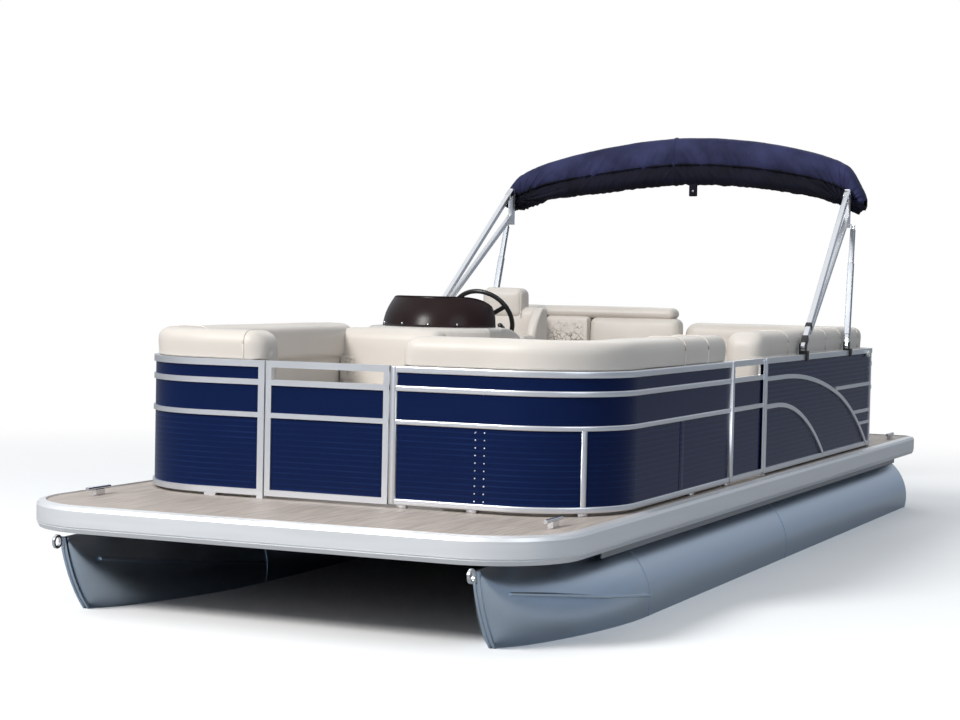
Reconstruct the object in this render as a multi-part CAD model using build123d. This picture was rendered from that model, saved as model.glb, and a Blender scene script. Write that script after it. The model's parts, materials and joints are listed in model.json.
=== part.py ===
from build123d import *
from math import asin, cos, radians, sin, sqrt
import os

# Pontoon boat afloat. Bow towards -Y, port side towards +X, +Z up, millimetres.
# The origin is on the waterline at the middle of the deck.

# Deck and rub rail
BEAM = 2590.0
DECK_LENGTH = 6830.0
DECK_TOP = 472.0
DECK_THICK = 32.0
DECK_BOW_RADIUS = 420.0
DECK_STERN_RADIUS = 90.0
RUB_WIDTH = 39.0
RUB_CROWN_Z = 479.0
RUB_FOLD_Z = 458.0
RUB_GROOVE_Z = 384.0
RUB_GROOVE_DEPTH = 5.0
RUB_BOTTOM_Z = 361.0
RUB_LIP_INSET = 12.0
FIT = 0.3

# Pontoon tubes and their nose cones
TUBE_X = BEAM / 2 - 315
TUBE_RADIUS = 290.0
TUBE_AXIS_Z = 70.0
TUBE_AFT_Y = DECK_LENGTH / 2 - 165
TUBE_CAP_LENGTH = 70.0
TUBE_CAP_RADIUS = 205.0
NOSE_SEAM_Y = 1335 - DECK_LENGTH / 2
AFT_SEAM_Y = 200.0
SEAM_WIDTH = 14.0
SEAM_HEIGHT = 3.0
STEM_TOP_Z = 339.0
STEM_RADIUS = 735.0
STEM_CENTRE_Y = 763 - DECK_LENGTH / 2
STRAKE_PROUD = 26.0
STEM_BAR_WIDTH = 30.0
STEM_BAR_PROUD = 12.0
TOW_EYE_Z = 322.0
TOW_EYE_RADIUS = 20.0
TOW_EYE_REACH = 50.0
TOW_EYE_ROD = 11.0
RISER_HALF_WIDTH = 190.0
RISER_WALL = 6.0
RISER_BOW_Y = 965 - DECK_LENGTH / 2
RISER_STERN_Y = DECK_LENGTH / 2 - 115
KEEL_HEIGHT = 18.0

# Cross beams under the deck
BEAM_PITCH = 406.0
BEAM_HEIGHT = 72.0
BEAM_FLANGE = 42.0
BEAM_WALL = 5.0

# Fence in plan
FENCE_X = BEAM / 2 - 75
FENCE_BOW_Y = 791 - DECK_LENGTH / 2
FENCE_STERN_Y = DECK_LENGTH / 2 - 1025
FENCE_BOW_RADIUS = 470.0
FENCE_STERN_RADIUS = 60.0

# Fence rails, each from a bottom to a top height
RAIL_DEPTH = 32.0
TOP_RAIL = (1073.0, 1103.0)
UPPER_RAIL = (991.0, 1017.0)
MIDDLE_RAIL = (843.0, 866.0)
BOTTOM_RAIL = (486.0, 514.0)
POST = 32.0
PANEL_INSET = 9.0
PANEL_THICK = 4.0
FOOT_LENGTH = 60.0
FOOT_WIDTH = 24.0
DIVIDER_Y = -1530.0
DIVIDER_WIDTH = 14.0

# Gates
BOW_GATE = (-412.0, 213.0)
SIDE_GATE = (-713.0, -134.0)
GATE_GAP = 7.0
GATE_DEPTH = 28.0
GATE_STILE = 28.0
GATE_SET_IN = 2.0
HINGE_RADIUS = 7.0
HINGE_LENGTH = 60.0
HINGE_LEAF = 4.0
HINGE_HEIGHTS = (600.0, 940.0)

# Arched trim of the port quarter, on the fence's outer face
ARCH_WIDTH = 24.0
OUTER_ARCH_START_Y = 250.0
OUTER_ARCH_Z = 1004.0
OUTER_ARCH_RADIUS = 5200.0
OUTER_ARCH_BREAK_Y = 1426.0
OUTER_ARCH_END_Y = 2233.0
INNER_ARCH_START_Y = 100.0
INNER_ARCH_Z = 854.0
INNER_ARCH_RADIUS = 1800.0
INNER_ARCH_END_Y = 1140.0

ARCH_PROUD = 2.0
# Columns: where the tail leaves the outer arch, its bottom, its top
ARCH_TAILS = ((1422.0, 868.0, 890.0), (1862.0, 702.0, 722.0), (2020.0, 627.0, 645.0))

# Lounges
BASE_TOP = 800.0
SEAT_THICK = 110.0
BOLSTER_TOP = 1238.0
BOLSTER_DEPTH = 235.0
BOLSTER_SET_IN = 10.0
AFT_BOLSTER_SET_IN = 50.0
AFT_BOLSTER_DEPTH = 215.0
BACK_DEPTH = 150.0
BACK_GAP = 12.0
CUSHION_EDGE = 45.0
SEAT_EDGE = 25.0
BOLSTER_EDGE = 60.0
BOLSTER_STERN_RADIUS = 100.0
STERN_BENCH_DEPTH = 700.0
BOW_LOUNGE_AFT_PORT = -760.0
BOW_LOUNGE_AFT_STARBOARD = -600.0
BOW_LOUNGE_INNER_PORT = 470.0
BOW_LOUNGE_INNER_STARBOARD = -500.0
CROSS_BACK_DEPTH = 165.0
CROSS_BACK_END = -415.0
CROSS_BACK_TOP = 1212.0
AFT_LOUNGE_BOW_Y = -40.0
AFT_LOUNGE_INNER = FENCE_X - 580
QUARTER_ARM_SET_BACK = 120.0
OVER_ALL_Z = 2000.0
STERN_BENCH_SPLIT = 10.0
QUARTER_BACK_TOP = 1325.0
QUARTER_BACK_Y = FENCE_STERN_Y - 330
QUARTER_BACK_DEPTH = 155.0
QUARTER_BOW_Y = FENCE_STERN_Y - 890
QUARTER_LEFT = 285 - FENCE_X

# Helm
CONSOLE_X = (55 - FENCE_X, 825 - FENCE_X)
CONSOLE_Y = (-300.0, 400.0)
CONSOLE_DASH_Z = 1090.0
CONSOLE_TOP = 1215.0
CONSOLE_BOW = 190.0
CONSOLE_DASH_Y = 120.0
CONSOLE_EDGE = 30.0
SCREEN_TOP = 1392.0
SCREEN_THICK = 6.0
SCREEN_LEAN_X = 60.0
SCREEN_LEAN_Y = 90.0
SCREEN_AFT = 60.0
WHEEL_CENTRE = (510 - FENCE_X, 500.0, 1253.0)
WHEEL_RADIUS = 190.0
WHEEL_RIM = 14.0
WHEEL_TILT = 28.0
CHAIR_X = 360 - FENCE_X
CHAIR_Y = 960.0
CHAIR_SEAT_Z = 860.0
CHAIR_TOP = 1440.0
CHAIR_PLATE = 30.0
CHAIR_EDGE = 40.0

# Canopy frame, stowed in its boot and propped up
CANOPY_HINGE_Y = FENCE_STERN_Y - 1690
CANOPY_HINGE_Z = 1150.0
LEG_FOOT_X = FENCE_X - 20
LEG_TOP = (FENCE_X - 84, FENCE_STERN_Y - 472, 2090.0)
LEG_TUBE = 25.0
LOWER_LEG_TOP_Z = 1925.0
LOWER_LEG_DROP = 30.0
LOWER_LEG_START = 160.0
BRACE_FOOT = (LEG_TOP[1] - 188, 1140.0)
BRACE_TOP = (FENCE_X - 50, LEG_TOP[1] + 17, 1880.0)
BRACE_TUBE = 22.0
BRACE_SLEEVE = 27.0
BRACE_SLEEVE_LENGTH = 520.0
JAW_CHEEK = 5.0
JAW_PLAY = 2.0
JAW_WIDTH = 34.0
JAW_PIN = 4.0
JAW_EYE = 14.0
JAW_BASE_DROP = 26.0
JAW_LIP = 12.0

# Canopy boot: its crown and lower edge are arcs through a side point and the middle
BOOT_FRONT_Y = LEG_TOP[1] + 20
BOOT_DEPTH = 175.0
BOOT_CROWN = (FENCE_X - 285, 2285.0, 2427.0)
BOOT_SHOULDER = (FENCE_X + 3, 2085.0)
BOOT_END = (FENCE_X - 10, 1990.0)
BOOT_UNDER = (FENCE_X - 325, 2045.0, 2150.0)
BOOT_INNER_END = (FENCE_X - 117, 1962.0)

# Lamp on the outer face of the port top rail
LAMP_Y = FENCE_STERN_Y - 190
LAMP_RADIUS = 20.0
LAMP_DEPTH = 14.0

# Outboard motor and its pod
POD_HALF_WIDTH = 320.0
TRANSOM_Y = DECK_LENGTH / 2 + 285
POD_BOW_Y = TRANSOM_Y - 1350
TRANSOM_TOP_Z = 385.0
POD_BOTTOM_Z = -170.0
TILT_Y = TRANSOM_Y + 45
TILT_Z = 450.0
STEER_Y = TILT_Y + 105
PROP_Z = -300.0
PROP_RADIUS = 178.0
GEARCASE_AFT = 250.0
PLATE_Z = -74.0
TILT_EAR = 28.0
HOOK_THICK = 18.0
PAN_BOTTOM = 95.0
PAN_TOP = 110.0
COWL_HALF_WIDTH = 185.0
COWL_FRONT = 150.0
COWL_AFT = 330.0
COWL_HEIGHT = 470.0
COWL_WALL = 14.0
COWL_CORNER = 90.0

# Boarding ladder, folded forward on the swim deck
LADDER_X = (295 - BEAM / 2, 615 - BEAM / 2)
LADDER_HINGE_Y = DECK_LENGTH / 2 + 35
LADDER_HINGE_Z = 505.0
LADDER_LENGTH = 860.0
LADDER_TUBE = 25.0
LADDER_STEPS = 3

SIDE_EDGE = BEAM / 2
BOW_Y = -DECK_LENGTH / 2
STERN_Y = DECK_LENGTH / 2
DECK_BOTTOM = DECK_TOP - DECK_THICK
BEAM_BOTTOM = DECK_BOTTOM - BEAM_HEIGHT
TUBE_TOP = TUBE_AXIS_Z + TUBE_RADIUS
TUBE_BOTTOM = TUBE_AXIS_Z - TUBE_RADIUS
STEM_TOP_Y = STEM_CENTRE_Y - sqrt(STEM_RADIUS ** 2 - (TUBE_BOTTOM + STEM_RADIUS - STEM_TOP_Z) ** 2)

# The nose's stations. Columns: distance aft of the stem's top, half width
NOSE_STATIONS = [(12.0, 17.0), (170.0, 75.0), (480.0, 165.0), (820.0, 245.0)]


def block(x0, x1, y0, y1, z0, z1):
    """A box between two corners."""
    centre = Pos((x0 + x1) / 2, (y0 + y1) / 2, (z0 + z1) / 2)
    return centre * Box(abs(x1 - x0), abs(y1 - y0), abs(z1 - z0))


def rod(start, end, radius):
    """A round bar between two points."""
    line = Vector(*end) - Vector(*start)
    plane = Plane(origin=start, z_dir=line)
    return extrude(plane * Circle(radius), line.length)


def square_bar(start, end, width, depth, corner=3.0):
    """A rectangular tube between two points, its width kept along X."""
    line = Vector(*end) - Vector(*start)
    plane = Plane(origin=start, x_dir=(1, 0, 0), z_dir=line)
    return extrude(plane * RectangleRounded(width, depth, corner), line.length)


def x_mirrored(shape):
    """The same piece on the other side of the boat."""
    return mirror(shape, about=Plane.YZ)


def plan_outline(half_width, y_bow, y_stern, bow_radius, stern_radius):
    """A plan outline with round corners, wider ones at the bow."""
    face = Pos(0, (y_bow + y_stern) / 2) * Rectangle(2 * half_width, y_stern - y_bow)
    face = fillet(face.vertices().group_by(Axis.Y)[0], bow_radius)
    return fillet(face.vertices().group_by(Axis.Y)[-1], stern_radius)


def deck_plan(inset):
    """The deck's plan, set in from the rub rail's outer face."""
    return plan_outline(BEAM / 2 - inset, BOW_Y + inset, STERN_Y - inset,
                        DECK_BOW_RADIUS - inset, DECK_STERN_RADIUS - inset)


def fence_plan(inset):
    """The fence's plan, set in from its outer face."""
    return plan_outline(FENCE_X - inset, FENCE_BOW_Y + inset, FENCE_STERN_Y - inset,
                        FENCE_BOW_RADIUS - inset, max(FENCE_STERN_RADIUS - inset, 2.0))


def fence_band(inset, depth, z0, z1):
    """A band that follows the fence's plan."""
    face = fence_plan(inset) - fence_plan(inset + depth)
    return Pos(0, 0, z0) * extrude(face, z1 - z0)


def deck():
    """The plywood deck with its vinyl floor."""
    return Pos(0, 0, DECK_BOTTOM) * extrude(deck_plan(RUB_WIDTH + FIT), DECK_THICK)


def rub_rail():
    """The wide extrusion round the deck's edge: crown, fold, face, groove and lower lip."""
    profile = [
        (-RUB_WIDTH, RUB_CROWN_Z), (-8, RUB_CROWN_Z - 7), (0, RUB_FOLD_Z),
        (0, RUB_GROOVE_Z + 4), (-RUB_GROOVE_DEPTH, RUB_GROOVE_Z + 2),
        (-RUB_GROOVE_DEPTH, RUB_GROOVE_Z - 2), (-1, RUB_GROOVE_Z - 4),
        (-RUB_LIP_INSET, RUB_BOTTOM_Z), (-RUB_WIDTH, RUB_BOTTOM_Z),
    ]
    outer_edge = deck_plan(0).face().outer_wire()
    plane = Plane(origin=(BEAM / 2, 0, 0), x_dir=(1, 0, 0), z_dir=(0, -1, 0))
    section = plane * make_face(Polyline(*profile, close=True))
    return sweep(section, path=outer_edge)


def cross_beams():
    """Channel beams from side to side, from a loop along the deck."""
    length = BEAM - 2 * (RUB_WIDTH + FIT)
    channel = [
        (0, 0), (BEAM_FLANGE, 0), (BEAM_FLANGE, BEAM_WALL), (BEAM_WALL, BEAM_WALL),
        (BEAM_WALL, BEAM_HEIGHT - BEAM_WALL), (BEAM_FLANGE, BEAM_HEIGHT - BEAM_WALL),
        (BEAM_FLANGE, BEAM_HEIGHT), (0, BEAM_HEIGHT),
    ]
    plane = Plane(origin=(-length / 2, 0, BEAM_BOTTOM), x_dir=(0, 1, 0), z_dir=(1, 0, 0))
    beam = extrude(plane * make_face(Polyline(*channel, close=True)), length)
    first = BOW_Y + DECK_BOW_RADIUS
    count = int((STERN_Y - 150 - first) // BEAM_PITCH) + 1
    beams = [Pos(0, first + i * BEAM_PITCH, 0) * beam for i in range(count)]
    return Compound(beams)


def nose_keel_z(y):
    """The nose's lower edge: one arc from the stem's top down to the level keel."""
    if y >= STEM_CENTRE_Y:
        return TUBE_BOTTOM
    return TUBE_BOTTOM + STEM_RADIUS - sqrt(STEM_RADIUS ** 2 - (STEM_CENTRE_Y - y) ** 2)


def nose_top_z(y):
    """The nose's upper edge, from the stem's top to the tube's top."""
    return STEM_TOP_Z + (TUBE_TOP - STEM_TOP_Z) * (y - STEM_TOP_Y) / (NOSE_SEAM_Y - STEM_TOP_Y)


def nose_section(y, half_width):
    """A lens of two arcs between the nose's top and its lower edge."""
    top = nose_top_z(y)
    low = nose_keel_z(y)
    middle = (top + low) / 2
    plane = Plane(origin=(TUBE_X, y, 0), x_dir=(1, 0, 0), z_dir=(0, -1, 0))
    right = ThreePointArc((0, low), (half_width, middle), (0, top))
    left = ThreePointArc((0, top), (-half_width, middle), (0, low))
    return plane * make_face([right, left])


def stem_bar():
    """The flat bar along the stem and forefoot, with the keel behind it."""
    plane = Plane(origin=(TUBE_X - STEM_BAR_WIDTH / 2, 0, 0), x_dir=(0, 1, 0), z_dir=(1, 0, 0))
    middle_y = (STEM_TOP_Y + STEM_CENTRE_Y) / 2
    stem = ThreePointArc((STEM_TOP_Y, STEM_TOP_Z), (middle_y, nose_keel_z(middle_y)),
                         (STEM_CENTRE_Y, TUBE_BOTTOM))
    level = Line((STEM_CENTRE_Y, TUBE_BOTTOM), (NOSE_SEAM_Y, TUBE_BOTTOM))
    path = Wire([stem.edges()[0], level.edges()[0]])
    outer = offset(path, amount=STEM_BAR_PROUD, side=Side.RIGHT, closed=True)
    bar = extrude(plane * make_face(outer), STEM_BAR_WIDTH)
    groove_plane = Plane(origin=(TUBE_X - STEM_BAR_WIDTH / 6, 0, 0), x_dir=(0, 1, 0), z_dir=(1, 0, 0))
    inner = offset(path, amount=STEM_BAR_PROUD * 2, side=Side.RIGHT, closed=True)
    core = offset(path, amount=STEM_BAR_PROUD / 2, side=Side.RIGHT, closed=True)
    return bar - extrude(groove_plane * (make_face(inner) - make_face(core)), STEM_BAR_WIDTH / 3)


def pontoon():
    """The port tube with its nose, stem bar, seams, aft cap, strakes and keel."""
    plane = Plane(origin=(TUBE_X, NOSE_SEAM_Y, TUBE_AXIS_Z), z_dir=(0, 1, 0))
    tube = extrude(plane * Circle(TUBE_RADIUS), TUBE_AFT_Y - NOSE_SEAM_Y)
    cap_plane = Plane(origin=(TUBE_X, TUBE_AFT_Y, TUBE_AXIS_Z), z_dir=(0, 1, 0))
    cap = loft([cap_plane * Circle(TUBE_RADIUS),
                cap_plane.offset(TUBE_CAP_LENGTH) * Circle(TUBE_CAP_RADIUS)], ruled=True)
    sections = [nose_section(STEM_TOP_Y + aft, half) for aft, half in NOSE_STATIONS]
    sections.append(nose_section(NOSE_SEAM_Y, TUBE_RADIUS))
    body = tube + cap + loft(sections)
    for seam_y in (NOSE_SEAM_Y, AFT_SEAM_Y):
        seam_plane = Plane(origin=(TUBE_X, seam_y - SEAM_WIDTH / 2, TUBE_AXIS_Z), z_dir=(0, 1, 0))
        body += extrude(seam_plane * Circle(TUBE_RADIUS + SEAM_HEIGHT), SEAM_WIDTH)
    keel = block(TUBE_X - 5, TUBE_X + 5, STEM_CENTRE_Y - 48, TUBE_AFT_Y, TUBE_BOTTOM - KEEL_HEIGHT,
                 TUBE_BOTTOM + 8)
    return body + keel + stem_bar()


def strake(side):
    """A lifting strake on one side of the nose, a slim wedge in section that sinks from bow to seam."""
    # Columns: y, half width of the nose there, z, how far it stands out
    table = [(STEM_TOP_Y + NOSE_STATIONS[1][0], NOSE_STATIONS[1][1], 228.0, STRAKE_PROUD * 0.5),
             (STEM_TOP_Y + NOSE_STATIONS[2][0], NOSE_STATIONS[2][1], 190.0, STRAKE_PROUD),
             (STEM_TOP_Y + NOSE_STATIONS[3][0], NOSE_STATIONS[3][1], 145.0, STRAKE_PROUD),
             (NOSE_SEAM_Y - 40, TUBE_RADIUS - 4, 100.0, STRAKE_PROUD)]
    sections = []
    for y, half, z, proud in table:
        high = (nose_top_z(y) - nose_keel_z(y)) / 2
        radius = (high ** 2 + half ** 2) / (2 * half)
        skin = sqrt(radius ** 2 - (z - nose_top_z(y) + high) ** 2) - radius + half
        plane = Plane(origin=(TUBE_X + side * skin, y, z), x_dir=(side, 0, 0), z_dir=(0, -1, 0))
        wedge = Polyline((-30, -20), (proud, -3), (proud, 4), (-30, 14), close=True)
        sections.append(plane * make_face(wedge))
    return loft(sections, ruled=True)


def tow_eye():
    """The ring at the stem's top on its gusset plate."""
    eye_y = STEM_TOP_Y - TOW_EYE_REACH
    plane = Plane(origin=(TUBE_X, eye_y, TOW_EYE_Z), z_dir=(1, 0, 0))
    ring = Cylinder(TOW_EYE_RADIUS + TOW_EYE_ROD, TOW_EYE_ROD + 2)
    ring = plane * (fillet(ring.edges(), 3) - Cylinder(TOW_EYE_RADIUS, TOW_EYE_ROD * 2))
    shank = rod((TUBE_X, eye_y + TOW_EYE_RADIUS + 2, TOW_EYE_Z), (TUBE_X, STEM_TOP_Y + 30, TOW_EYE_Z), 7)
    gusset_plane = Plane(origin=(TUBE_X - 4, 0, 0), x_dir=(0, 1, 0), z_dir=(1, 0, 0))
    gusset_y = eye_y + TOW_EYE_RADIUS + 4
    gusset = extrude(gusset_plane * make_face(Polyline(
        (gusset_y, TOW_EYE_Z - 16), (STEM_TOP_Y + 40, TOW_EYE_Z - 60),
        (STEM_TOP_Y + 40, TOW_EYE_Z + 16), (gusset_y, TOW_EYE_Z + 16), close=True)), 8)
    return ring + shank + gusset


def riser():
    """The channel welded along the tube's top, which carries the cross beams."""
    outer = block(TUBE_X - RISER_HALF_WIDTH, TUBE_X + RISER_HALF_WIDTH, RISER_BOW_Y, RISER_STERN_Y,
                  TUBE_AXIS_Z, BEAM_BOTTOM - FIT)
    inner = block(TUBE_X - RISER_HALF_WIDTH + RISER_WALL, TUBE_X + RISER_HALF_WIDTH - RISER_WALL,
                  RISER_BOW_Y - 1, RISER_STERN_Y + 1, TUBE_AXIS_Z - 1, TUBE_TOP + 2)
    plane = Plane(origin=(TUBE_X, RISER_BOW_Y - 1, TUBE_AXIS_Z), z_dir=(0, 1, 0))
    tube = extrude(plane * Circle(TUBE_RADIUS + SEAM_HEIGHT + FIT), RISER_STERN_Y - RISER_BOW_Y + 2)
    return outer - inner - tube


def post_at(x, y, z1=TOP_RAIL[1], width=POST, depth=RAIL_DEPTH):
    """An upright of the fence, standing on the deck."""
    return block(x - width / 2, x + width / 2, y - depth / 2, y + depth / 2, DECK_TOP + FIT, z1)


def fence_frame(region, posts, feet, rails=(TOP_RAIL, UPPER_RAIL, MIDDLE_RAIL, BOTTOM_RAIL)):
    """Rails that follow the plan inside a region, with end posts and feet fused to them."""
    frame = None
    for z0, z1 in rails:
        band = fence_band(0 if z1 != UPPER_RAIL[1] else 1.0, RAIL_DEPTH - 1, z0, z1) & region
        frame = band if frame is None else frame + band
    for x, y in posts:
        frame += post_at(x, y)
    for x, y in feet:
        frame += block(x - FOOT_LENGTH / 2, x + FOOT_LENGTH / 2, y - FOOT_WIDTH / 2, y + FOOT_WIDTH / 2,
                       DECK_TOP + FIT, BOTTOM_RAIL[0] + 4)
    return frame


def arch_rail(start, radius, break_y, end):
    """A trim rail on the port quarter: level, then curving down to the bottom rail."""
    start_y, z = start
    angle = asin((break_y - start_y) / radius)
    break_z = z - radius * (1 - cos(angle))
    level = Line((SIDE_GATE[1] + GATE_GAP + 1, z), (start_y, z))
    first = RadiusArc((start_y, z), (break_y, break_z), radius)
    pieces = [level, first]
    if end[0] > break_y:
        pieces.append(TangentArc((break_y, break_z), end, tangent=(cos(angle), -sin(angle))))
    path = Wire([edge for piece in pieces for edge in piece.edges()])
    ribbon = offset(path, amount=ARCH_WIDTH, side=Side.RIGHT, closed=True)
    plane = Plane(origin=(FENCE_X - RAIL_DEPTH + 2, 0, 0), x_dir=(0, 1, 0), z_dir=(1, 0, 0))
    return extrude(plane * make_face(ribbon), RAIL_DEPTH - 2 + ARCH_PROUD)


def arched_trim():
    """The two arches and the short rails that run from the outer one to the quarter post."""
    outer = arch_rail((OUTER_ARCH_START_Y, OUTER_ARCH_Z), OUTER_ARCH_RADIUS, OUTER_ARCH_BREAK_Y,
                      (OUTER_ARCH_END_Y, BOTTOM_RAIL[1] - 4))
    inner = arch_rail((INNER_ARCH_START_Y, INNER_ARCH_Z), INNER_ARCH_RADIUS, INNER_ARCH_END_Y,
                      (INNER_ARCH_END_Y, BOTTOM_RAIL[1] - 4))
    trim = outer + inner
    for start_y, z0, z1 in ARCH_TAILS:
        trim += block(FENCE_X - RAIL_DEPTH + 2, FENCE_X, start_y, FENCE_STERN_Y - 75, z0, z1)
    return trim


def fence_panel(region, bands):
    """One sheet behind the rails, from the bottom rail up to the top one."""
    panel = fence_band(PANEL_INSET, PANEL_THICK, bands[0][1] - 3, bands[-1][0] + 3) & region
    return panel


def side_region(x0, x1, y0, y1):
    """The part of the plan that one fence section covers."""
    return block(x0, x1, y0, y1, 0, 2000)


def fence_sections():
    """Each fence section as a frame node and a panel node."""
    rail_mid_bow = FENCE_BOW_Y + RAIL_DEPTH / 2
    rail_mid_side = FENCE_X - RAIL_DEPTH / 2
    rail_mid_stern = FENCE_STERN_Y - RAIL_DEPTH / 2
    half = POST / 2
    # Columns: name, plan region, posts, feet
    table = [
        ("bow_starboard",
         side_region(-SIDE_EDGE, BOW_GATE[0] - GATE_GAP, BOW_Y, SIDE_GATE[0] - GATE_GAP),
         [(BOW_GATE[0] - GATE_GAP - half, rail_mid_bow), (-rail_mid_side, SIDE_GATE[0] - GATE_GAP - half)],
         [(-700, rail_mid_bow)]),
        ("bow_port",
         side_region(BOW_GATE[1] + GATE_GAP, SIDE_EDGE, BOW_Y, SIDE_GATE[0] - GATE_GAP),
         [(BOW_GATE[1] + GATE_GAP + half, rail_mid_bow), (rail_mid_side, SIDE_GATE[0] - GATE_GAP - half)],
         [(520, rail_mid_bow)]),
        ("side_starboard",
         side_region(-SIDE_EDGE, 100 - FENCE_X, SIDE_GATE[0] - GATE_GAP + 1, FENCE_STERN_Y - 70),
         [(-rail_mid_side, SIDE_GATE[0] - GATE_GAP + 1 + half), (-rail_mid_side, 600),
          (-rail_mid_side, FENCE_STERN_Y - 70 - half)],
         []),
        ("aft_port",
         side_region(FENCE_X - 100, SIDE_EDGE, SIDE_GATE[1] + GATE_GAP, FENCE_STERN_Y - 70),
         [(rail_mid_side, SIDE_GATE[1] + GATE_GAP + half), (rail_mid_side, FENCE_STERN_Y - 70 - half)],
         []),
        ("stern",
         side_region(-SIDE_EDGE, SIDE_EDGE, FENCE_STERN_Y - 69, STERN_Y),
         [(-400, rail_mid_stern), (400, rail_mid_stern)],
         []),
    ]
    nodes = {}
    for name, region, posts, feet in table:
        rails = (TOP_RAIL, UPPER_RAIL, MIDDLE_RAIL, BOTTOM_RAIL)
        if name == "aft_port":
            rails = (TOP_RAIL, BOTTOM_RAIL)
        frame = fence_frame(region, posts, feet, rails)
        if name == "aft_port":
            frame += arched_trim()
        if name == "bow_port":
            frame += block(rail_mid_side, FENCE_X - 2, DIVIDER_Y - DIVIDER_WIDTH / 2,
                           DIVIDER_Y + DIVIDER_WIDTH / 2, BOTTOM_RAIL[1] - 4, MIDDLE_RAIL[0] + 4)
        nodes["fence_frame_" + name] = frame
        inner = fence_panel(region, (BOTTOM_RAIL, TOP_RAIL))
        nodes["fence_panel_" + name] = inner - nodes["fence_frame_" + name]
    return nodes


def make_gate(length):
    """A gate in its own frame: along +X from its hinge side, outer face towards -Y."""
    frame = None
    for z0, z1 in (TOP_RAIL, UPPER_RAIL, MIDDLE_RAIL, BOTTOM_RAIL):
        rail = block(0, length, 0, GATE_DEPTH, z0, z1)
        frame = rail if frame is None else frame + rail
    for x0 in (0, length - GATE_STILE):
        frame += block(x0, x0 + GATE_STILE, 0, GATE_DEPTH, BOTTOM_RAIL[0], TOP_RAIL[1])
    sheet = block(GATE_STILE - 3, length - GATE_STILE + 3, PANEL_INSET, PANEL_INSET + PANEL_THICK,
                  BOTTOM_RAIL[1] - 3, UPPER_RAIL[0] + 3)
    sheet -= frame
    x, y = hinge_axis()
    for z in HINGE_HEIGHTS:
        frame += Pos(x, y, z) * Cylinder(HINGE_RADIUS, HINGE_LENGTH)
        frame += block(x, GATE_STILE - 4, GATE_DEPTH, GATE_DEPTH + HINGE_LEAF, z - HINGE_LENGTH / 2,
                       z + HINGE_LENGTH / 2)
    return frame, sheet


def hinge_axis():
    """The gate's hinge axis in the gate's own frame, at its inner face."""
    return -GATE_GAP / 2, RAIL_DEPTH - GATE_SET_IN + HINGE_RADIUS + 0.5


def post_hinges():
    """The fixed knuckles above and below each of the gate's, on leaves on the post."""
    x, y = hinge_axis()
    shape = None
    face = RAIL_DEPTH - GATE_SET_IN
    for z in HINGE_HEIGHTS:
        for side in (-1, 1):
            z0 = z + side * (HINGE_LENGTH / 2 + FIT)
            z1 = z0 + side * HINGE_LENGTH / 2
            knuckle = Pos(x, y, (z0 + z1) / 2) * Cylinder(HINGE_RADIUS, abs(z1 - z0))
            knuckle += block(-GATE_GAP - POST + 4, x, face - 1, face + HINGE_LEAF, min(z0, z1), max(z0, z1))
            shape = knuckle if shape is None else shape + knuckle
    return shape


def bolster(region, set_in=BOLSTER_SET_IN, depth=BOLSTER_DEPTH):
    """A rounded back cushion: its upper roll lies on the rail, its lower half inside the fence."""
    outer = plan_outline(FENCE_X - set_in, FENCE_BOW_Y + set_in, FENCE_STERN_Y - set_in,
                         FENCE_BOW_RADIUS - set_in, BOLSTER_STERN_RADIUS)
    roll = Pos(0, 0, TOP_RAIL[1] + FIT) * extrude(outer - fence_plan(set_in + depth),
                                                  BOLSTER_TOP - TOP_RAIL[1] - FIT)
    roll = roll & region
    roll = fillet(roll.edges().group_by(Axis.Z)[-1], BOLSTER_EDGE)
    tucked = fence_band(RAIL_DEPTH + BACK_GAP, BACK_DEPTH, BASE_TOP + FIT, TOP_RAIL[1] + FIT + 1)
    return roll + tucked & region


def outline_base(face_region, z0, z1):
    """Seat furniture that fills a plan region inside the fence."""
    face = fence_plan(RAIL_DEPTH + 8)
    solid = Pos(0, 0, z0) * extrude(face, z1 - z0)
    return solid & face_region


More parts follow.
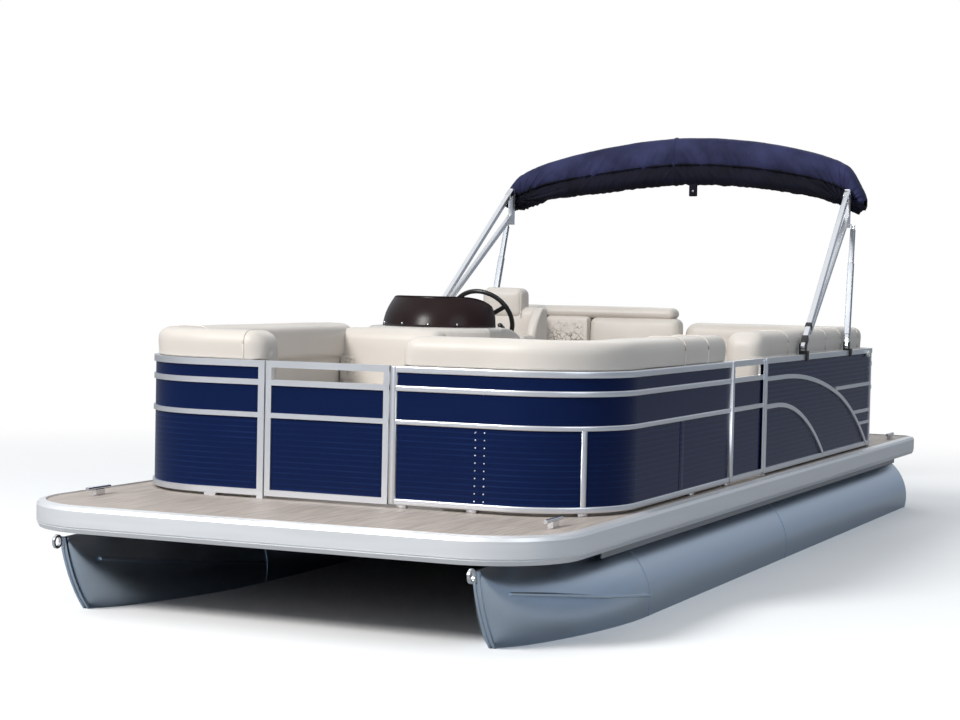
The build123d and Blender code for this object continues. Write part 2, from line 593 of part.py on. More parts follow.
def lounges():
    """Base, seat and back of the four lounges."""
    nodes = {}
    base_z = DECK_TOP + FIT
    # Columns: name, x range, y range of the base
    table = [
        ("bow_port", (BOW_LOUNGE_INNER_PORT, SIDE_EDGE), (BOW_Y, BOW_LOUNGE_AFT_PORT)),
        ("bow_starboard", (-SIDE_EDGE, BOW_LOUNGE_INNER_STARBOARD), (BOW_Y, BOW_LOUNGE_AFT_STARBOARD)),
        ("aft_port", (AFT_LOUNGE_INNER, SIDE_EDGE), (AFT_LOUNGE_BOW_Y, STERN_Y)),
    ]
    for name, (x0, x1), (y0, y1) in table:
        nodes["lounge_base_" + name] = outline_base(side_region(x0, x1, y0, y1), base_z, BASE_TOP)
    nodes["lounge_base_aft_port"] += outline_base(
        side_region(STERN_BENCH_SPLIT, AFT_LOUNGE_INNER + 60, FENCE_STERN_Y - STERN_BENCH_DEPTH, STERN_Y),
        base_z, BASE_TOP)
    nodes["lounge_base_aft_starboard"] = outline_base(
        side_region(-SIDE_EDGE, -STERN_BENCH_SPLIT, QUARTER_BOW_Y, STERN_Y), base_z, BASE_TOP)
    for name in ("bow_port", "bow_starboard", "aft_port", "aft_starboard"):
        inner = fence_band(0, RAIL_DEPTH + BACK_GAP + BACK_DEPTH + 2, BASE_TOP - 1, BASE_TOP + SEAT_THICK + 1)
        box_of = nodes["lounge_base_" + name]
        top = Pos(0, 0, BASE_TOP - base_z + FIT) * (box_of & block(
            -SIDE_EDGE, SIDE_EDGE, BOW_Y, STERN_Y, base_z, base_z + SEAT_THICK))
        seat = top - inner
        nodes["lounge_seat_" + name] = fillet(seat.edges().group_by(Axis.Z)[-1], SEAT_EDGE)
    nodes["lounge_back_bow_port"] = bolster(
        side_region(BOW_GATE[1] + 35, SIDE_EDGE, BOW_Y, BOW_LOUNGE_AFT_PORT + 25))
    cross_y = BOW_LOUNGE_AFT_STARBOARD - CROSS_BACK_DEPTH
    cross = block(70 - FENCE_X, CROSS_BACK_END, cross_y, BOW_LOUNGE_AFT_STARBOARD, BASE_TOP + FIT,
                  CROSS_BACK_TOP)
    cross = fillet(cross.edges().group_by(Axis.Z)[-1] + cross.edges().filter_by(Axis.Z), CUSHION_EDGE)
    nodes["lounge_back_bow_starboard"] = cross + bolster(
        side_region(-SIDE_EDGE, BOW_GATE[0] - 30, BOW_Y, BOW_LOUNGE_AFT_STARBOARD))
    nodes["lounge_seat_bow_starboard"] -= block(-SIDE_EDGE, 0, cross_y - FIT, 0, 0, OVER_ALL_Z)
    nodes["lounge_back_aft_port"] = bolster(
        side_region(STERN_BENCH_SPLIT, SIDE_EDGE, AFT_LOUNGE_BOW_Y, STERN_Y), AFT_BOLSTER_SET_IN,
        AFT_BOLSTER_DEPTH)
    quarter = block(45 - FENCE_X, -STERN_BENCH_SPLIT, QUARTER_BOW_Y + QUARTER_ARM_SET_BACK,
                    QUARTER_BACK_Y + QUARTER_BACK_DEPTH, BASE_TOP + FIT, QUARTER_BACK_TOP)
    quarter -= block(QUARTER_LEFT, 0, QUARTER_BOW_Y, QUARTER_BACK_Y, 0, OVER_ALL_Z)
    nodes["lounge_back_aft_starboard"] = fillet(quarter.edges().group_by(Axis.Z)[-1], CUSHION_EDGE)
    nodes["lounge_seat_aft_starboard"] -= block(-SIDE_EDGE, 0, QUARTER_BACK_Y - FIT, STERN_Y, 0, OVER_ALL_Z)
    nodes["lounge_seat_aft_starboard"] -= block(-SIDE_EDGE, QUARTER_LEFT + FIT, 0, STERN_Y, 0, OVER_ALL_Z)
    return nodes


def helm_console():
    """The moulded console: a bowed front, a sloped dash and a rounded top edge."""
    x0, x1 = CONSOLE_X
    y0, y1 = CONSOLE_Y
    bow = ThreePointArc((x0, y0 + CONSOLE_BOW), ((x0 + x1) / 2, y0), (x1, y0 + CONSOLE_BOW))
    rest = Polyline((x1, y0 + CONSOLE_BOW), (x1, y1), (x0, y1), (x0, y0 + CONSOLE_BOW))
    plan = Pos(0, 0, DECK_TOP + FIT) * make_face([*bow.edges(), *rest.edges()])
    body = extrude(plan, CONSOLE_TOP - DECK_TOP - FIT)
    plane = Plane(origin=(x0 - 10, 0, 0), x_dir=(0, 1, 0), z_dir=(1, 0, 0))
    corners = ((CONSOLE_DASH_Y, CONSOLE_TOP + 1), (y1 + 1, CONSOLE_DASH_Z), (y1 + 1, CONSOLE_TOP + 1))
    dash = make_face(Polyline(*corners, close=True))
    knees = make_face(Polyline((y1 + 1, 1000), (y1 - 60, 950), (y1 - 60, 400), (y1 + 1, 400), close=True))
    body -= extrude(plane * dash, x1 - x0 + 20)
    body -= extrude(plane * knees, x1 - x0 + 20)
    top = body.faces().sort_by(Axis.Z)[-1]
    return fillet(top.edges().filter_by(lambda edge: edge.center().Y < CONSOLE_DASH_Y - 5), CONSOLE_EDGE)


def windscreen():
    """The low smoked screen, bent round the console's front."""
    x0, x1 = CONSOLE_X
    middle = (x0 + x1) / 2
    shells = []
    for skin in (0, SCREEN_THICK):
        faces = []
        for z, lean_x, lean_y in ((CONSOLE_TOP + FIT, 0, 0), (SCREEN_TOP, SCREEN_LEAN_X, SCREEN_LEAN_Y)):
            half = (x1 - x0) / 2 - 45 - lean_x - skin
            front = CONSOLE_Y[0] + 25 + lean_y + skin
            bow = ThreePointArc((middle - half, SCREEN_AFT), (middle, front), (middle + half, SCREEN_AFT))
            faces.append(Pos(0, 0, z) * make_face([bow, Line((middle + half, SCREEN_AFT),
                                                             (middle - half, SCREEN_AFT))]))
        shells.append(loft(faces, ruled=True))
    screen = shells[0] - shells[1]
    return screen & block(x0, x1, -1000, SCREEN_AFT - 20, CONSOLE_TOP, SCREEN_TOP + 10)


def wheel_plane():
    """The steering wheel's plane; its normal points aft and up, along the column."""
    return Plane(origin=WHEEL_CENTRE, x_dir=(1, 0, 0),
                 z_dir=(0, cos(radians(WHEEL_TILT)), sin(radians(WHEEL_TILT))))


def steering_wheel():
    """Rim, three spokes and hub."""
    plane = wheel_plane()
    wheel = plane * Torus(WHEEL_RADIUS, WHEEL_RIM)
    wheel += plane * (Pos(0, 0, -14) * Cylinder(42, 40))
    for angle in (90, 210, 330):
        spoke = Rot(0, 0, angle) * (Pos(WHEEL_RADIUS / 2, 0, -8) * Box(WHEEL_RADIUS - 10, 26, 8))
        wheel += plane * spoke
    return wheel


def steering_column():
    """The short shaft housing between the dash and the wheel's hub."""
    plane = wheel_plane()
    housing = plane * (Pos(0, 0, -34.5 - 110) * Cylinder(34, 220))
    return (housing - helm_console()).solids().sort_by(Axis.Y)[-1]


def helm_chair():
    """Seat, back with headrest, and side bolsters, on a swivelling plate."""
    seat = block(CHAIR_X - 250, CHAIR_X + 250, CHAIR_Y - 228, CHAIR_Y + 190, CHAIR_SEAT_Z,
                 CHAIR_SEAT_Z + 115)
    back = block(CHAIR_X - 245, CHAIR_X + 245, CHAIR_Y + 190, CHAIR_Y + 320, CHAIR_SEAT_Z,
                 CHAIR_TOP - 130)
    head = block(CHAIR_X - 128, CHAIR_X + 128, CHAIR_Y + 200, CHAIR_Y + 320, CHAIR_TOP - 130, CHAIR_TOP)
    seat = fillet(seat.edges().filter_by(Axis.Z) + seat.edges().group_by(Axis.Z)[-1], CHAIR_EDGE)
    back = fillet(back.edges().filter_by(Axis.Z) + back.edges().group_by(Axis.Z)[-1], CHAIR_EDGE)
    head = fillet(head.edges().filter_by(Axis.Z) + head.edges().group_by(Axis.Z)[-1], CHAIR_EDGE)
    chair = seat + back + head
    for side in (-1, 1):
        x0 = CHAIR_X + side * 235
        arm = block(x0, x0 + side * 48, CHAIR_Y - 120, CHAIR_Y + 240, CHAIR_SEAT_Z + 10,
                    CHAIR_SEAT_Z + 330)
        chair += fillet(arm.edges().filter_by(Axis.X).group_by(Axis.Z)[-1], 120)
    plate = Pos(CHAIR_X, CHAIR_Y, CHAIR_SEAT_Z - CHAIR_PLATE / 2) * Cylinder(90, CHAIR_PLATE)
    return chair + plate


def chair_pedestal():
    """The fixed foot: base flange and column."""
    foot = Pos(CHAIR_X, CHAIR_Y, DECK_TOP + FIT + 8) * Cylinder(160, 16)
    top = CHAIR_SEAT_Z - CHAIR_PLATE - FIT
    column = Pos(CHAIR_X, CHAIR_Y, (DECK_TOP + FIT + top) / 2) * Cylinder(38, top - DECK_TOP - FIT)
    return foot + column


def leg_line():
    """Foot, unit direction in the side plane and length of a canopy leg."""
    rise = LEG_TOP[2] - CANOPY_HINGE_Z
    run = LEG_TOP[1] - CANOPY_HINGE_Y
    length = sqrt(rise ** 2 + run ** 2)
    return run / length, rise / length, length


def leg_point(side, along, lift=0.0):
    """A point of the leg's centre line, or above it by lift in the side plane."""
    run, rise, length = leg_line()
    x = LEG_FOOT_X + (LEG_TOP[0] - LEG_FOOT_X) * along / length
    return (side * x, CANOPY_HINGE_Y + run * along - rise * lift, CANOPY_HINGE_Z + rise * along + run * lift)


def pin_hole(y, z, side):
    """The hole for a jaw pin, through a foot on one side of the boat."""
    return rod((side * (FENCE_X - 50), y, z), (side * (LEG_FOOT_X + 60), y, z), JAW_PIN + FIT)


def canopy_legs():
    """Two legs a side that spread from the foot, joined at the boot by a plate with the brace stud."""
    length = leg_line()[2]
    legs = []
    for side in (-1, 1):
        leg = square_bar(leg_point(side, -JAW_EYE), leg_point(side, length), LEG_TUBE, LEG_TUBE)
        leg -= pin_hole(CANOPY_HINGE_Y, CANOPY_HINGE_Z, side)
        lower_top = (side * LEG_TOP[0], LEG_TOP[1], LOWER_LEG_TOP_Z)
        leg += square_bar(leg_point(side, LOWER_LEG_START, -LOWER_LEG_DROP), lower_top, LEG_TUBE, LEG_TUBE)
        leg += square_bar(leg_point(side, LOWER_LEG_START + 12),
                          leg_point(side, LOWER_LEG_START + 12, -LOWER_LEG_DROP), 18, 24)
        leg += block(side * (LEG_TOP[0] - 15), side * (LEG_TOP[0] + 15), LEG_TOP[1] - 22, BOOT_FRONT_Y - FIT,
                     BRACE_TOP[2] - 20, LEG_TOP[2] + 8)
        leg += rod((side * LEG_TOP[0], BRACE_TOP[1] - 14, BRACE_TOP[2]),
                   (side * (BRACE_TOP[0] - BRACE_TUBE / 2 - JAW_PLAY), BRACE_TOP[1] - 14, BRACE_TOP[2]), 5)
        legs.append(leg)
    return Compound(legs)


def canopy_boot():
    """The folded canopy in its boot: a deep band between two arches, drooping at its ends."""
    crown_x, crown_side, crown_top = BOOT_CROWN
    under_x, under_side, under_top = BOOT_UNDER
    edges = [ThreePointArc((-crown_x, crown_side), (0, crown_top), (crown_x, crown_side)),
             ThreePointArc((-under_x, under_side), (0, under_top), (under_x, under_side))]
    for side in (-1, 1):
        crown_slope = arc_end_slope(crown_x, crown_top - crown_side)
        under_slope = arc_end_slope(under_x, under_top - under_side)
        edges.append(TangentArc((side * crown_x, crown_side), (side * BOOT_SHOULDER[0], BOOT_SHOULDER[1]),
                                tangent=(side * cos(crown_slope), -sin(crown_slope))))
        edges.append(TangentArc((side * under_x, under_side), (side * BOOT_INNER_END[0], BOOT_INNER_END[1]),
                                tangent=(side * cos(under_slope), -sin(under_slope))))
        edges.append(Polyline((side * BOOT_SHOULDER[0], BOOT_SHOULDER[1]),
                              (side * BOOT_END[0], BOOT_END[1]),
                              (side * BOOT_INNER_END[0], BOOT_INNER_END[1])))
    plane = Plane(origin=(0, BOOT_FRONT_Y + BOOT_DEPTH, 0), x_dir=(1, 0, 0), z_dir=(0, -1, 0))
    band = extrude(plane * make_face(edges), BOOT_DEPTH)
    return band


def arc_end_slope(half_chord, sagitta):
    """The angle below level of a symmetric arc at its end."""
    radius = (half_chord ** 2 + sagitta ** 2) / (2 * sagitta)
    return asin(half_chord / radius)


def braces():
    """The telescoping props between the rail and the canopy legs."""
    both = []
    for side in (-1, 1):
        foot = Vector(side * LEG_FOOT_X, BRACE_FOOT[0], BRACE_FOOT[1])
        top = Vector(side * BRACE_TOP[0], BRACE_TOP[1], BRACE_TOP[2])
        line = (top - foot).normalized()
        brace = square_bar(tuple(foot - line * JAW_EYE), tuple(top), BRACE_TUBE, BRACE_TUBE)
        brace -= pin_hole(BRACE_FOOT[0], BRACE_FOOT[1], side)
        brace += square_bar(tuple(foot + line * 60), tuple(foot + line * BRACE_SLEEVE_LENGTH),
                            BRACE_SLEEVE, BRACE_SLEEVE)
        both.append(brace)
    return Compound(both)


def rail_mounts():
    """The jaw mounts on the top rail for the canopy legs and braces, lipped over its outer edge."""
    mounts = []
    for side in (-1, 1):
        for y, z, tube in ((CANOPY_HINGE_Y, CANOPY_HINGE_Z, LEG_TUBE), (*BRACE_FOOT, BRACE_TUBE)):
            inner = LEG_FOOT_X - tube / 2 - JAW_PLAY
            outer = LEG_FOOT_X + tube / 2 + JAW_PLAY
            jaw = block(inner - JAW_CHEEK, outer + JAW_CHEEK, y - JAW_WIDTH / 2, y + JAW_WIDTH / 2,
                        TOP_RAIL[1] + FIT, z - JAW_BASE_DROP)
            jaw += block(FENCE_X + FIT, FENCE_X + JAW_LIP, y - JAW_WIDTH / 2, y + JAW_WIDTH / 2,
                         TOP_RAIL[0] - 6, z - JAW_BASE_DROP)
            jaw += block(inner - JAW_CHEEK, inner, y - JAW_WIDTH / 2, y + JAW_WIDTH / 2,
                         TOP_RAIL[1] + FIT, z + 16)
            jaw += block(outer, outer + JAW_CHEEK, y - JAW_WIDTH / 2, y + JAW_WIDTH / 2,
                         TOP_RAIL[1] + FIT, z + 16)
            jaw += rod((inner - 1, y, z), (outer + 1, y, z), JAW_PIN)
            mounts.append(jaw if side > 0 else x_mirrored(jaw))
    return Compound(mounts)


def motor_pod():
    """The closed pod under the deck with the transom plate at its aft end."""
    plane = Plane(origin=(-POD_HALF_WIDTH, 0, 0), x_dir=(0, 1, 0), z_dir=(1, 0, 0))
    side = Polyline((POD_BOW_Y, BEAM_BOTTOM - FIT), (POD_BOW_Y + 300, POD_BOTTOM_Z),
                    (TRANSOM_Y - 40, POD_BOTTOM_Z), (TRANSOM_Y, TRANSOM_TOP_Z),
                    (TRANSOM_Y - 60, TRANSOM_TOP_Z), (TRANSOM_Y - 72, 200),
                    (STERN_Y + 40, 200), (STERN_Y - 100, BEAM_BOTTOM - FIT), close=True)
    return extrude(plane * make_face(side), 2 * POD_HALF_WIDTH)


def clamp_bracket():
    """Two hooks over the transom with the tilt tube's ears."""
    bracket = rod((-120, TILT_Y, TILT_Z), (120, TILT_Y, TILT_Z), 14)
    hook_top = TRANSOM_TOP_Z + FIT + HOOK_THICK
    for x0, x1 in ((-120, -88), (88, 120)):
        bracket += block(x0, x1, TRANSOM_Y + FIT, TRANSOM_Y + 34, 60, hook_top)
        bracket += block(x0, x1, TRANSOM_Y - 90, TRANSOM_Y + 34, TRANSOM_TOP_Z + FIT, hook_top)
        bracket += block(x0, x1, TRANSOM_Y + 12, TILT_Y + TILT_EAR, hook_top - 60, TILT_Z)
        bracket += rod((x0, TILT_Y, TILT_Z), (x1, TILT_Y, TILT_Z), TILT_EAR)
    return bracket


def swivel_bracket():
    """The casting that tilts on the tube and carries the steering pivot."""
    body = block(-78, 78, TILT_Y - 30, TILT_Y + 36, TILT_Z - 36, TILT_Z + 40)
    body += block(-50, 50, TILT_Y + 8, STEER_Y - 30, 120, TILT_Z + 36)
    body += Pos(0, STEER_Y, (120 + TILT_Z + 36) / 2) * Cylinder(44, TILT_Z + 36 - 120)
    body -= rod((-200, TILT_Y, TILT_Z), (200, TILT_Y, TILT_Z), 14.05)
    body -= Pos(0, STEER_Y, 300) * Cylinder(26.05, 800)
    return body


def cowl_plan(inset):
    """The powerhead's plan: round at the front, fuller aft."""
    width = 2 * (COWL_HALF_WIDTH - inset)
    length = COWL_FRONT + COWL_AFT - 2 * inset
    face = Pos(0, STEER_Y + (COWL_AFT - COWL_FRONT) / 2) * Rectangle(width, length)
    return fillet(face.vertices(), COWL_CORNER - inset)


def motor_leg():
    """Steering shaft, lower pan, mid section, anti-ventilation plate, gearcase and skeg."""
    leg = Pos(0, STEER_Y, (90 + TILT_Z + 66) / 2) * Cylinder(26, TILT_Z + 66 - 90)
    leg += Pos(0, 0, TILT_Z + PAN_BOTTOM) * extrude(cowl_plan(4), PAN_TOP - PAN_BOTTOM)
    leg += block(-75, 75, STEER_Y - 40, STEER_Y + 210, TILT_Z + 46, TILT_Z + PAN_BOTTOM + 2)
    # Columns: height, half width, front and aft edge behind the steering axis
    table = [(TILT_Z + 60, 62.0, 50.0, 215.0), (60.0, 44.0, 52.0, 195.0),
             (PLATE_Z, 40.0, 52.0, 190.0), (PROP_Z, 24.0, 60.0, 185.0)]
    sections = []
    for z, half, front, aft in table:
        face = Rectangle(2 * half, aft - front)
        face = fillet(face.vertices(), half * 0.9)
        sections.append(Pos(0, STEER_Y + (front + aft) / 2, z) * face)
    leg += loft(sections, ruled=True)
    leg += block(-30, 30, STEER_Y - 26, STEER_Y + 80, 84, 112)
    plate = Pos(0, STEER_Y + 165, PLATE_Z) * Rectangle(220, 330)
    leg += extrude(fillet(plate.vertices(), 90), 14)
    gear_plane = Plane(origin=(0, STEER_Y, PROP_Z), x_dir=(0, 1, 0), z_dir=(1, 0, 0))
    torpedo = [Line((-40, 0), (GEARCASE_AFT, 0)), Line((GEARCASE_AFT, 0), (GEARCASE_AFT, 46)),
               Line((GEARCASE_AFT, 46), (80, 54)), Line((80, 54), (4, 44)),
               ThreePointArc((4, 44), (4 - 44 * sin(radians(45)), 44 * sin(radians(45))), (-40, 0))]
    gear = revolve(gear_plane * make_face(torpedo), Axis((0, STEER_Y, PROP_Z), (0, 1, 0)))
    skeg_plane = Plane(origin=(-6, STEER_Y, PROP_Z), x_dir=(0, 1, 0), z_dir=(1, 0, 0))
    skeg = extrude(skeg_plane * make_face(Polyline((50, -30), (110, -190), (175, -190), (200, -30),
                                                   close=True)), 12)
    return leg + gear + skeg


def cowling():
    """The powerhead's cover, a hollow shell with a rounded plan."""
    z0 = TILT_Z + PAN_TOP + FIT
    outer = Pos(0, 0, z0) * extrude(cowl_plan(0), COWL_HEIGHT)
    outer = fillet(outer.edges().group_by(Axis.Z)[-1], 60)
    inner = Pos(0, 0, z0 - 1) * extrude(cowl_plan(COWL_WALL), COWL_HEIGHT - COWL_WALL)
    inner = fillet(inner.edges().group_by(Axis.Z)[-1], 60 - COWL_WALL)
    return outer - inner


def powerhead():
    """The engine, one plain block."""
    z0 = TILT_Z + PAN_TOP + FIT
    return block(-130, 130, STEER_Y - 90, STEER_Y + 260, z0, z0 + 400)


def propeller():
    """Hub and three blades."""
    y = STEER_Y + GEARCASE_AFT + 0.5
    hub = rod((0, y, PROP_Z), (0, y + 110, PROP_Z), 46)
    for angle in (0, 120, 240):
        blade = Plane.XZ * extrude(Ellipse(62, (PROP_RADIUS - 30) / 2), 4, both=True)
        blade = Pos(0, 0, (PROP_RADIUS + 30) / 2) * (Rot(0, 0, 32) * blade)
        hub += Pos(0, y + 55, PROP_Z) * (Rot(0, angle, 0) * blade)
    return hub


def ladder():
    """Side rails and steps, hinged at the stern edge."""
    x0, x1 = LADDER_X
    parts = None
    for x in (x0, x1):
        rail = rod((x, LADDER_HINGE_Y + JAW_EYE, LADDER_HINGE_Z),
                   (x, LADDER_HINGE_Y - LADDER_LENGTH, LADDER_HINGE_Z), LADDER_TUBE / 2)
        rail -= rod((x - LADDER_TUBE, LADDER_HINGE_Y, LADDER_HINGE_Z),
                    (x + LADDER_TUBE, LADDER_HINGE_Y, LADDER_HINGE_Z), JAW_PIN + FIT)
        parts = rail if parts is None else parts + rail
    for i in range(LADDER_STEPS):
        y = LADDER_HINGE_Y - 250 - i * 280
        parts += block(x0, x1, y - 30, y + 30, LADDER_HINGE_Z - 10, LADDER_HINGE_Z + 10)
    return parts


def ladder_mount():
    """The hinge blocks at the stern edge."""
    both = []
    for x in LADDER_X:
        side = 1 if x == LADDER_X[0] else -1
        face = x + side * (LADDER_TUBE / 2 + FIT)
        hinge = block(face, face + side * 10, STERN_Y - 60, LADDER_HINGE_Y + 12, RUB_CROWN_Z + FIT,
                      LADDER_HINGE_Z + 12)
        hinge += rod((face + side, LADDER_HINGE_Y, LADDER_HINGE_Z),
                     (x - side * (LADDER_TUBE / 2 + 2), LADDER_HINGE_Y, LADDER_HINGE_Z), JAW_PIN)
        both.append(hinge)
    return Compound(both)


def cleats():
    """Mooring cleats at the deck's four corners."""
    both = []
    bow = (SIDE_EDGE - 175, BOW_Y + 515)
    stern = (SIDE_EDGE - 105, STERN_Y - 365)
    for x, y in (bow, (-bow[0], bow[1]), stern, (-stern[0], stern[1])):
        base = block(x - 12, x + 12, y - 35, y + 35, DECK_TOP + FIT, DECK_TOP + 26)
        base += rod((x, y - 90, DECK_TOP + 32), (x, y + 90, DECK_TOP + 32), 9)
        both.append(base)
    return Compound(both)


def quarter_lamp():
    """The small round lamp on the port top rail's outer face."""
    z = (TOP_RAIL[0] + TOP_RAIL[1]) / 2 - 18
    return rod((FENCE_X + FIT, LAMP_Y, z), (FENCE_X + LAMP_DEPTH, LAMP_Y, z), LAMP_RADIUS)


def bow_gate_place():
    """Where the bow gate's own frame lies; its hinge is on the starboard side."""
    return Pos(BOW_GATE[0], FENCE_BOW_Y + GATE_SET_IN, 0)


def side_gate_place():
    """Where the port gate's own frame lies; its hinge is on the forward side."""
    return Pos(FENCE_X - GATE_SET_IN, SIDE_GATE[0], 0) * Rot(0, 0, 90)


port_pontoon = pontoon() + strake(1) + strake(-1)
port_riser = riser() - port_pontoon
port_tow_eye = (tow_eye() - port_pontoon).solids().sort_by(SortBy.VOLUME)[-1]
nodes = {
    "deck": deck(),
    "rub_rail": rub_rail(),
    "cross_beams": cross_beams(),
    "riser_port": port_riser,
    "riser_starboard": x_mirrored(port_riser),
    "pontoon_port": port_pontoon,
    "pontoon_starboard": x_mirrored(port_pontoon),
    "tow_eye_port": port_tow_eye,
    "tow_eye_starboard": x_mirrored(port_tow_eye),
    "motor_pod": motor_pod(),
    "helm_console": helm_console(),
    "windscreen": windscreen(),
    "steering_column": steering_column(),
    "steering_wheel": steering_wheel(),
    "chair_pedestal": chair_pedestal(),
    "helm_chair": helm_chair(),
    "canopy_legs": canopy_legs(),
    "canopy_boot": canopy_boot(),
    "canopy_braces": braces(),
    "canopy_rail_mounts": rail_mounts(),
    "clamp_bracket": clamp_bracket(),
    "swivel_bracket": swivel_bracket(),
    "motor_leg": motor_leg(),
    "cowling": cowling(),
    "powerhead": powerhead(),
    "propeller": propeller(),
    "boarding_ladder": ladder(),
    "ladder_mount": ladder_mount(),
    "cleats": cleats(),
    "quarter_lamp": quarter_lamp(),
}
nodes.update(fence_sections())
nodes.update(lounges())
for name, limits, place, post_node in (
        ("bow_gate", BOW_GATE, bow_gate_place(), "fence_frame_bow_starboard"),
        ("side_gate", SIDE_GATE, side_gate_place(), "fence_frame_bow_port")):
    gate_frame, gate_sheet = make_gate(limits[1] - limits[0])
    nodes[name + "_frame"] = place * gate_frame
    nodes[name + "_panel"] = place * gate_sheet
    nodes[post_node] += place * post_hinges()

os.makedirs("parts", exist_ok=True)
for name, shape in nodes.items():
    export_step(shape, "parts/" + name + ".step")
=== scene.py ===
from itertools import product
import json
from math import atan2, copysign, cos, exp, pi, radians, sin, sqrt

import bpy
from mathutils import Matrix, Vector, noise


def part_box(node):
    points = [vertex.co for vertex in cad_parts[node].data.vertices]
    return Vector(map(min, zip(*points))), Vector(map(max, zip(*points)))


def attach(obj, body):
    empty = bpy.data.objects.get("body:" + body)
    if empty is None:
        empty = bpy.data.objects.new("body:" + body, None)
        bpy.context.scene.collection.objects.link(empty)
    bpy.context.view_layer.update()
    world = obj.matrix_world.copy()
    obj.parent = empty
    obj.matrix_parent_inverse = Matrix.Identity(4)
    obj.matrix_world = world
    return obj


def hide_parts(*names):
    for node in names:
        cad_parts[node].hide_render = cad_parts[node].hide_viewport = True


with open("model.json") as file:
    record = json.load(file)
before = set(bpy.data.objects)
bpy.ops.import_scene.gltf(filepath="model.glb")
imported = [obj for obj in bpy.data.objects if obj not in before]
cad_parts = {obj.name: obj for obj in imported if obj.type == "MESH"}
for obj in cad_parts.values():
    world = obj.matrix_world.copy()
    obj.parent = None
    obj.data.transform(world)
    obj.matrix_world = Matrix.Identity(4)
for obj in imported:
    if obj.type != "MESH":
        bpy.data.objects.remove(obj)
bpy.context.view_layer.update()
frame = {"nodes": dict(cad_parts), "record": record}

# Pontoon boat afloat on a pale studio floor. Metres; bow towards -Y, port towards +X, +Z up.

scene = bpy.context.scene

# Camera at the photograph's angle
LENS = 77.93
SENSOR = 36.0
CAMERA_PLACE = Vector((4.2764, -10.8792, 1.4958))
CAMERA_RIGHT = Vector((0.9150671, 0.40275788, 0.02093543))
CAMERA_UP = Vector((-0.03491113, 0.0273892, 0.99901504))
CAMERA_AHEAD = Vector((-0.40178778, 0.91489667, -0.03912369))

# Fence in plan and heights, from the frame
FENCE_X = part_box("fence_frame_stern")[1].x
FENCE_BOW_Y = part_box("fence_frame_bow_port")[0].y
FENCE_STERN_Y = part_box("fence_frame_stern")[1].y
FENCE_BOW_RADIUS = 0.470
FENCE_STERN_RADIUS = 0.060
RAIL_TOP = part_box("bow_gate_frame")[1].z
BASE_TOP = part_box("lounge_base_bow_port")[1].z
SEAT_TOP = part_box("lounge_seat_bow_port")[1].z
BACK_OUT = 0.046
BACK_IN = 0.194
AFT_CORNER = 0.09
MIDDLE_RAIL_Z = 0.843
SIDE_GATE_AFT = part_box("side_gate_frame")[1].y
RIB_PITCH = 0.0253
SIDES = ((-1, "starboard"), (1, "port"))

# Colours, linear
CREAM = (0.600, 0.555, 0.505)
CREAM_SHADE = (0.555, 0.512, 0.465)
SEAM = (0.74, 0.70, 0.65)
NAVY = (0.0030, 0.0095, 0.048)
# Painted highlight: the lighter colour of the thin rib crests on the navy panels
NAVY_RIB_HIGHLIGHT = (0.006, 0.017, 0.072)
CANVAS = (0.0175, 0.0195, 0.053)
# Painted shade: a darker copy of the canvas for the boot's lower roll, set back under the upper roll
CANVAS_PAINTED_SHADE = (0.0022, 0.0024, 0.0075)
RAIL = (0.80, 0.81, 0.84)
TUBE = (0.60, 0.69, 0.80)
DECK = (0.37, 0.32, 0.285)
SCREEN = (0.013, 0.0065, 0.0065)


# Node materials

class Look:
    """The node tree of a material or of the world, with short ways to add nodes to it."""

    def __init__(self, owner):
        self.owner = owner
        owner.use_nodes = True
        self.nodes = owner.node_tree.nodes
        self.links = owner.node_tree.links

    def fill(self, node, inputs):
        """Gives each input a value, or the output of another node."""
        for name, value in inputs.items():
            if isinstance(value, bpy.types.NodeSocket):
                self.links.new(value, node.inputs[name])
            else:
                node.inputs[name].default_value = value

    def add(self, kind, output, inputs=None, **settings):
        """Adds a node, with its settings before its inputs, and gives one of its outputs."""
        node = self.nodes.new("ShaderNode" + kind)
        for setting, value in settings.items():
            setattr(node, setting, value)
        self.fill(node, inputs or {})
        return node.outputs[output]

    def noise(self, scale, detail=4.0, stretch=(1, 1, 1)):
        """Noise in the object's own coordinates, stretched along the axes."""
        place = self.add("Mapping", "Vector", {"Vector": self.add("TexCoord", "Object"), "Scale": stretch})
        return self.add("TexNoise", "Fac", {"Vector": place, "Scale": scale, "Detail": detail})

    def axis(self, source, letter):
        return self.add("SeparateXYZ", letter, {"Vector": source})

    def ramp(self, source, low=0, high=1, start=0.35, end=0.65):
        """Runs from low, where the source is at its start, to high."""
        return self.add("MapRange", "Result", {"Value": source, "From Min": start, "From Max": end,
                                               "To Min": low, "To Max": high})

    def join(self, operation, first, second):
        return self.add("Math", "Value", {0: first, 1: second}, operation=operation)

    def mix(self, factor, first, second):
        """A mix of two colours, each three numbers or another node's output."""
        ends = [c if isinstance(c, bpy.types.NodeSocket) else (*c, 1) for c in (first, second)]
        return self.add("Mix", "Result", {"Factor": factor, "A": ends[0], "B": ends[1]}, data_type="RGBA")

    def bump(self, height, strength, distance):
        return self.add("Bump", "Normal", {"Height": height, "Strength": strength, "Distance": distance})

    def surface(self, inputs):
        """Fills the shader's inputs and gives the material."""
        self.fill(self.nodes["Principled BSDF"], inputs)
        return self.owner


def new_look(name):
    return Look(bpy.data.materials.new(name))


def scaled(colour, factor):
    return tuple(c * factor for c in colour)


def metal(name, colour, roughness, stretch=(1, 1, 1), scale=10.0, wear=0.06, bare=1.0):
    """Bare or anodised metal; the stretch turns the noise into faint drawing lines."""
    look = new_look(name)
    grain = look.noise(scale, 4.0, stretch)
    return look.surface({
        "Base Color": look.mix(look.ramp(grain), scaled(colour, 1 - wear), colour),
        "Metallic": bare,
        "Roughness": look.ramp(grain, roughness * 0.95, roughness * 1.06),
    })


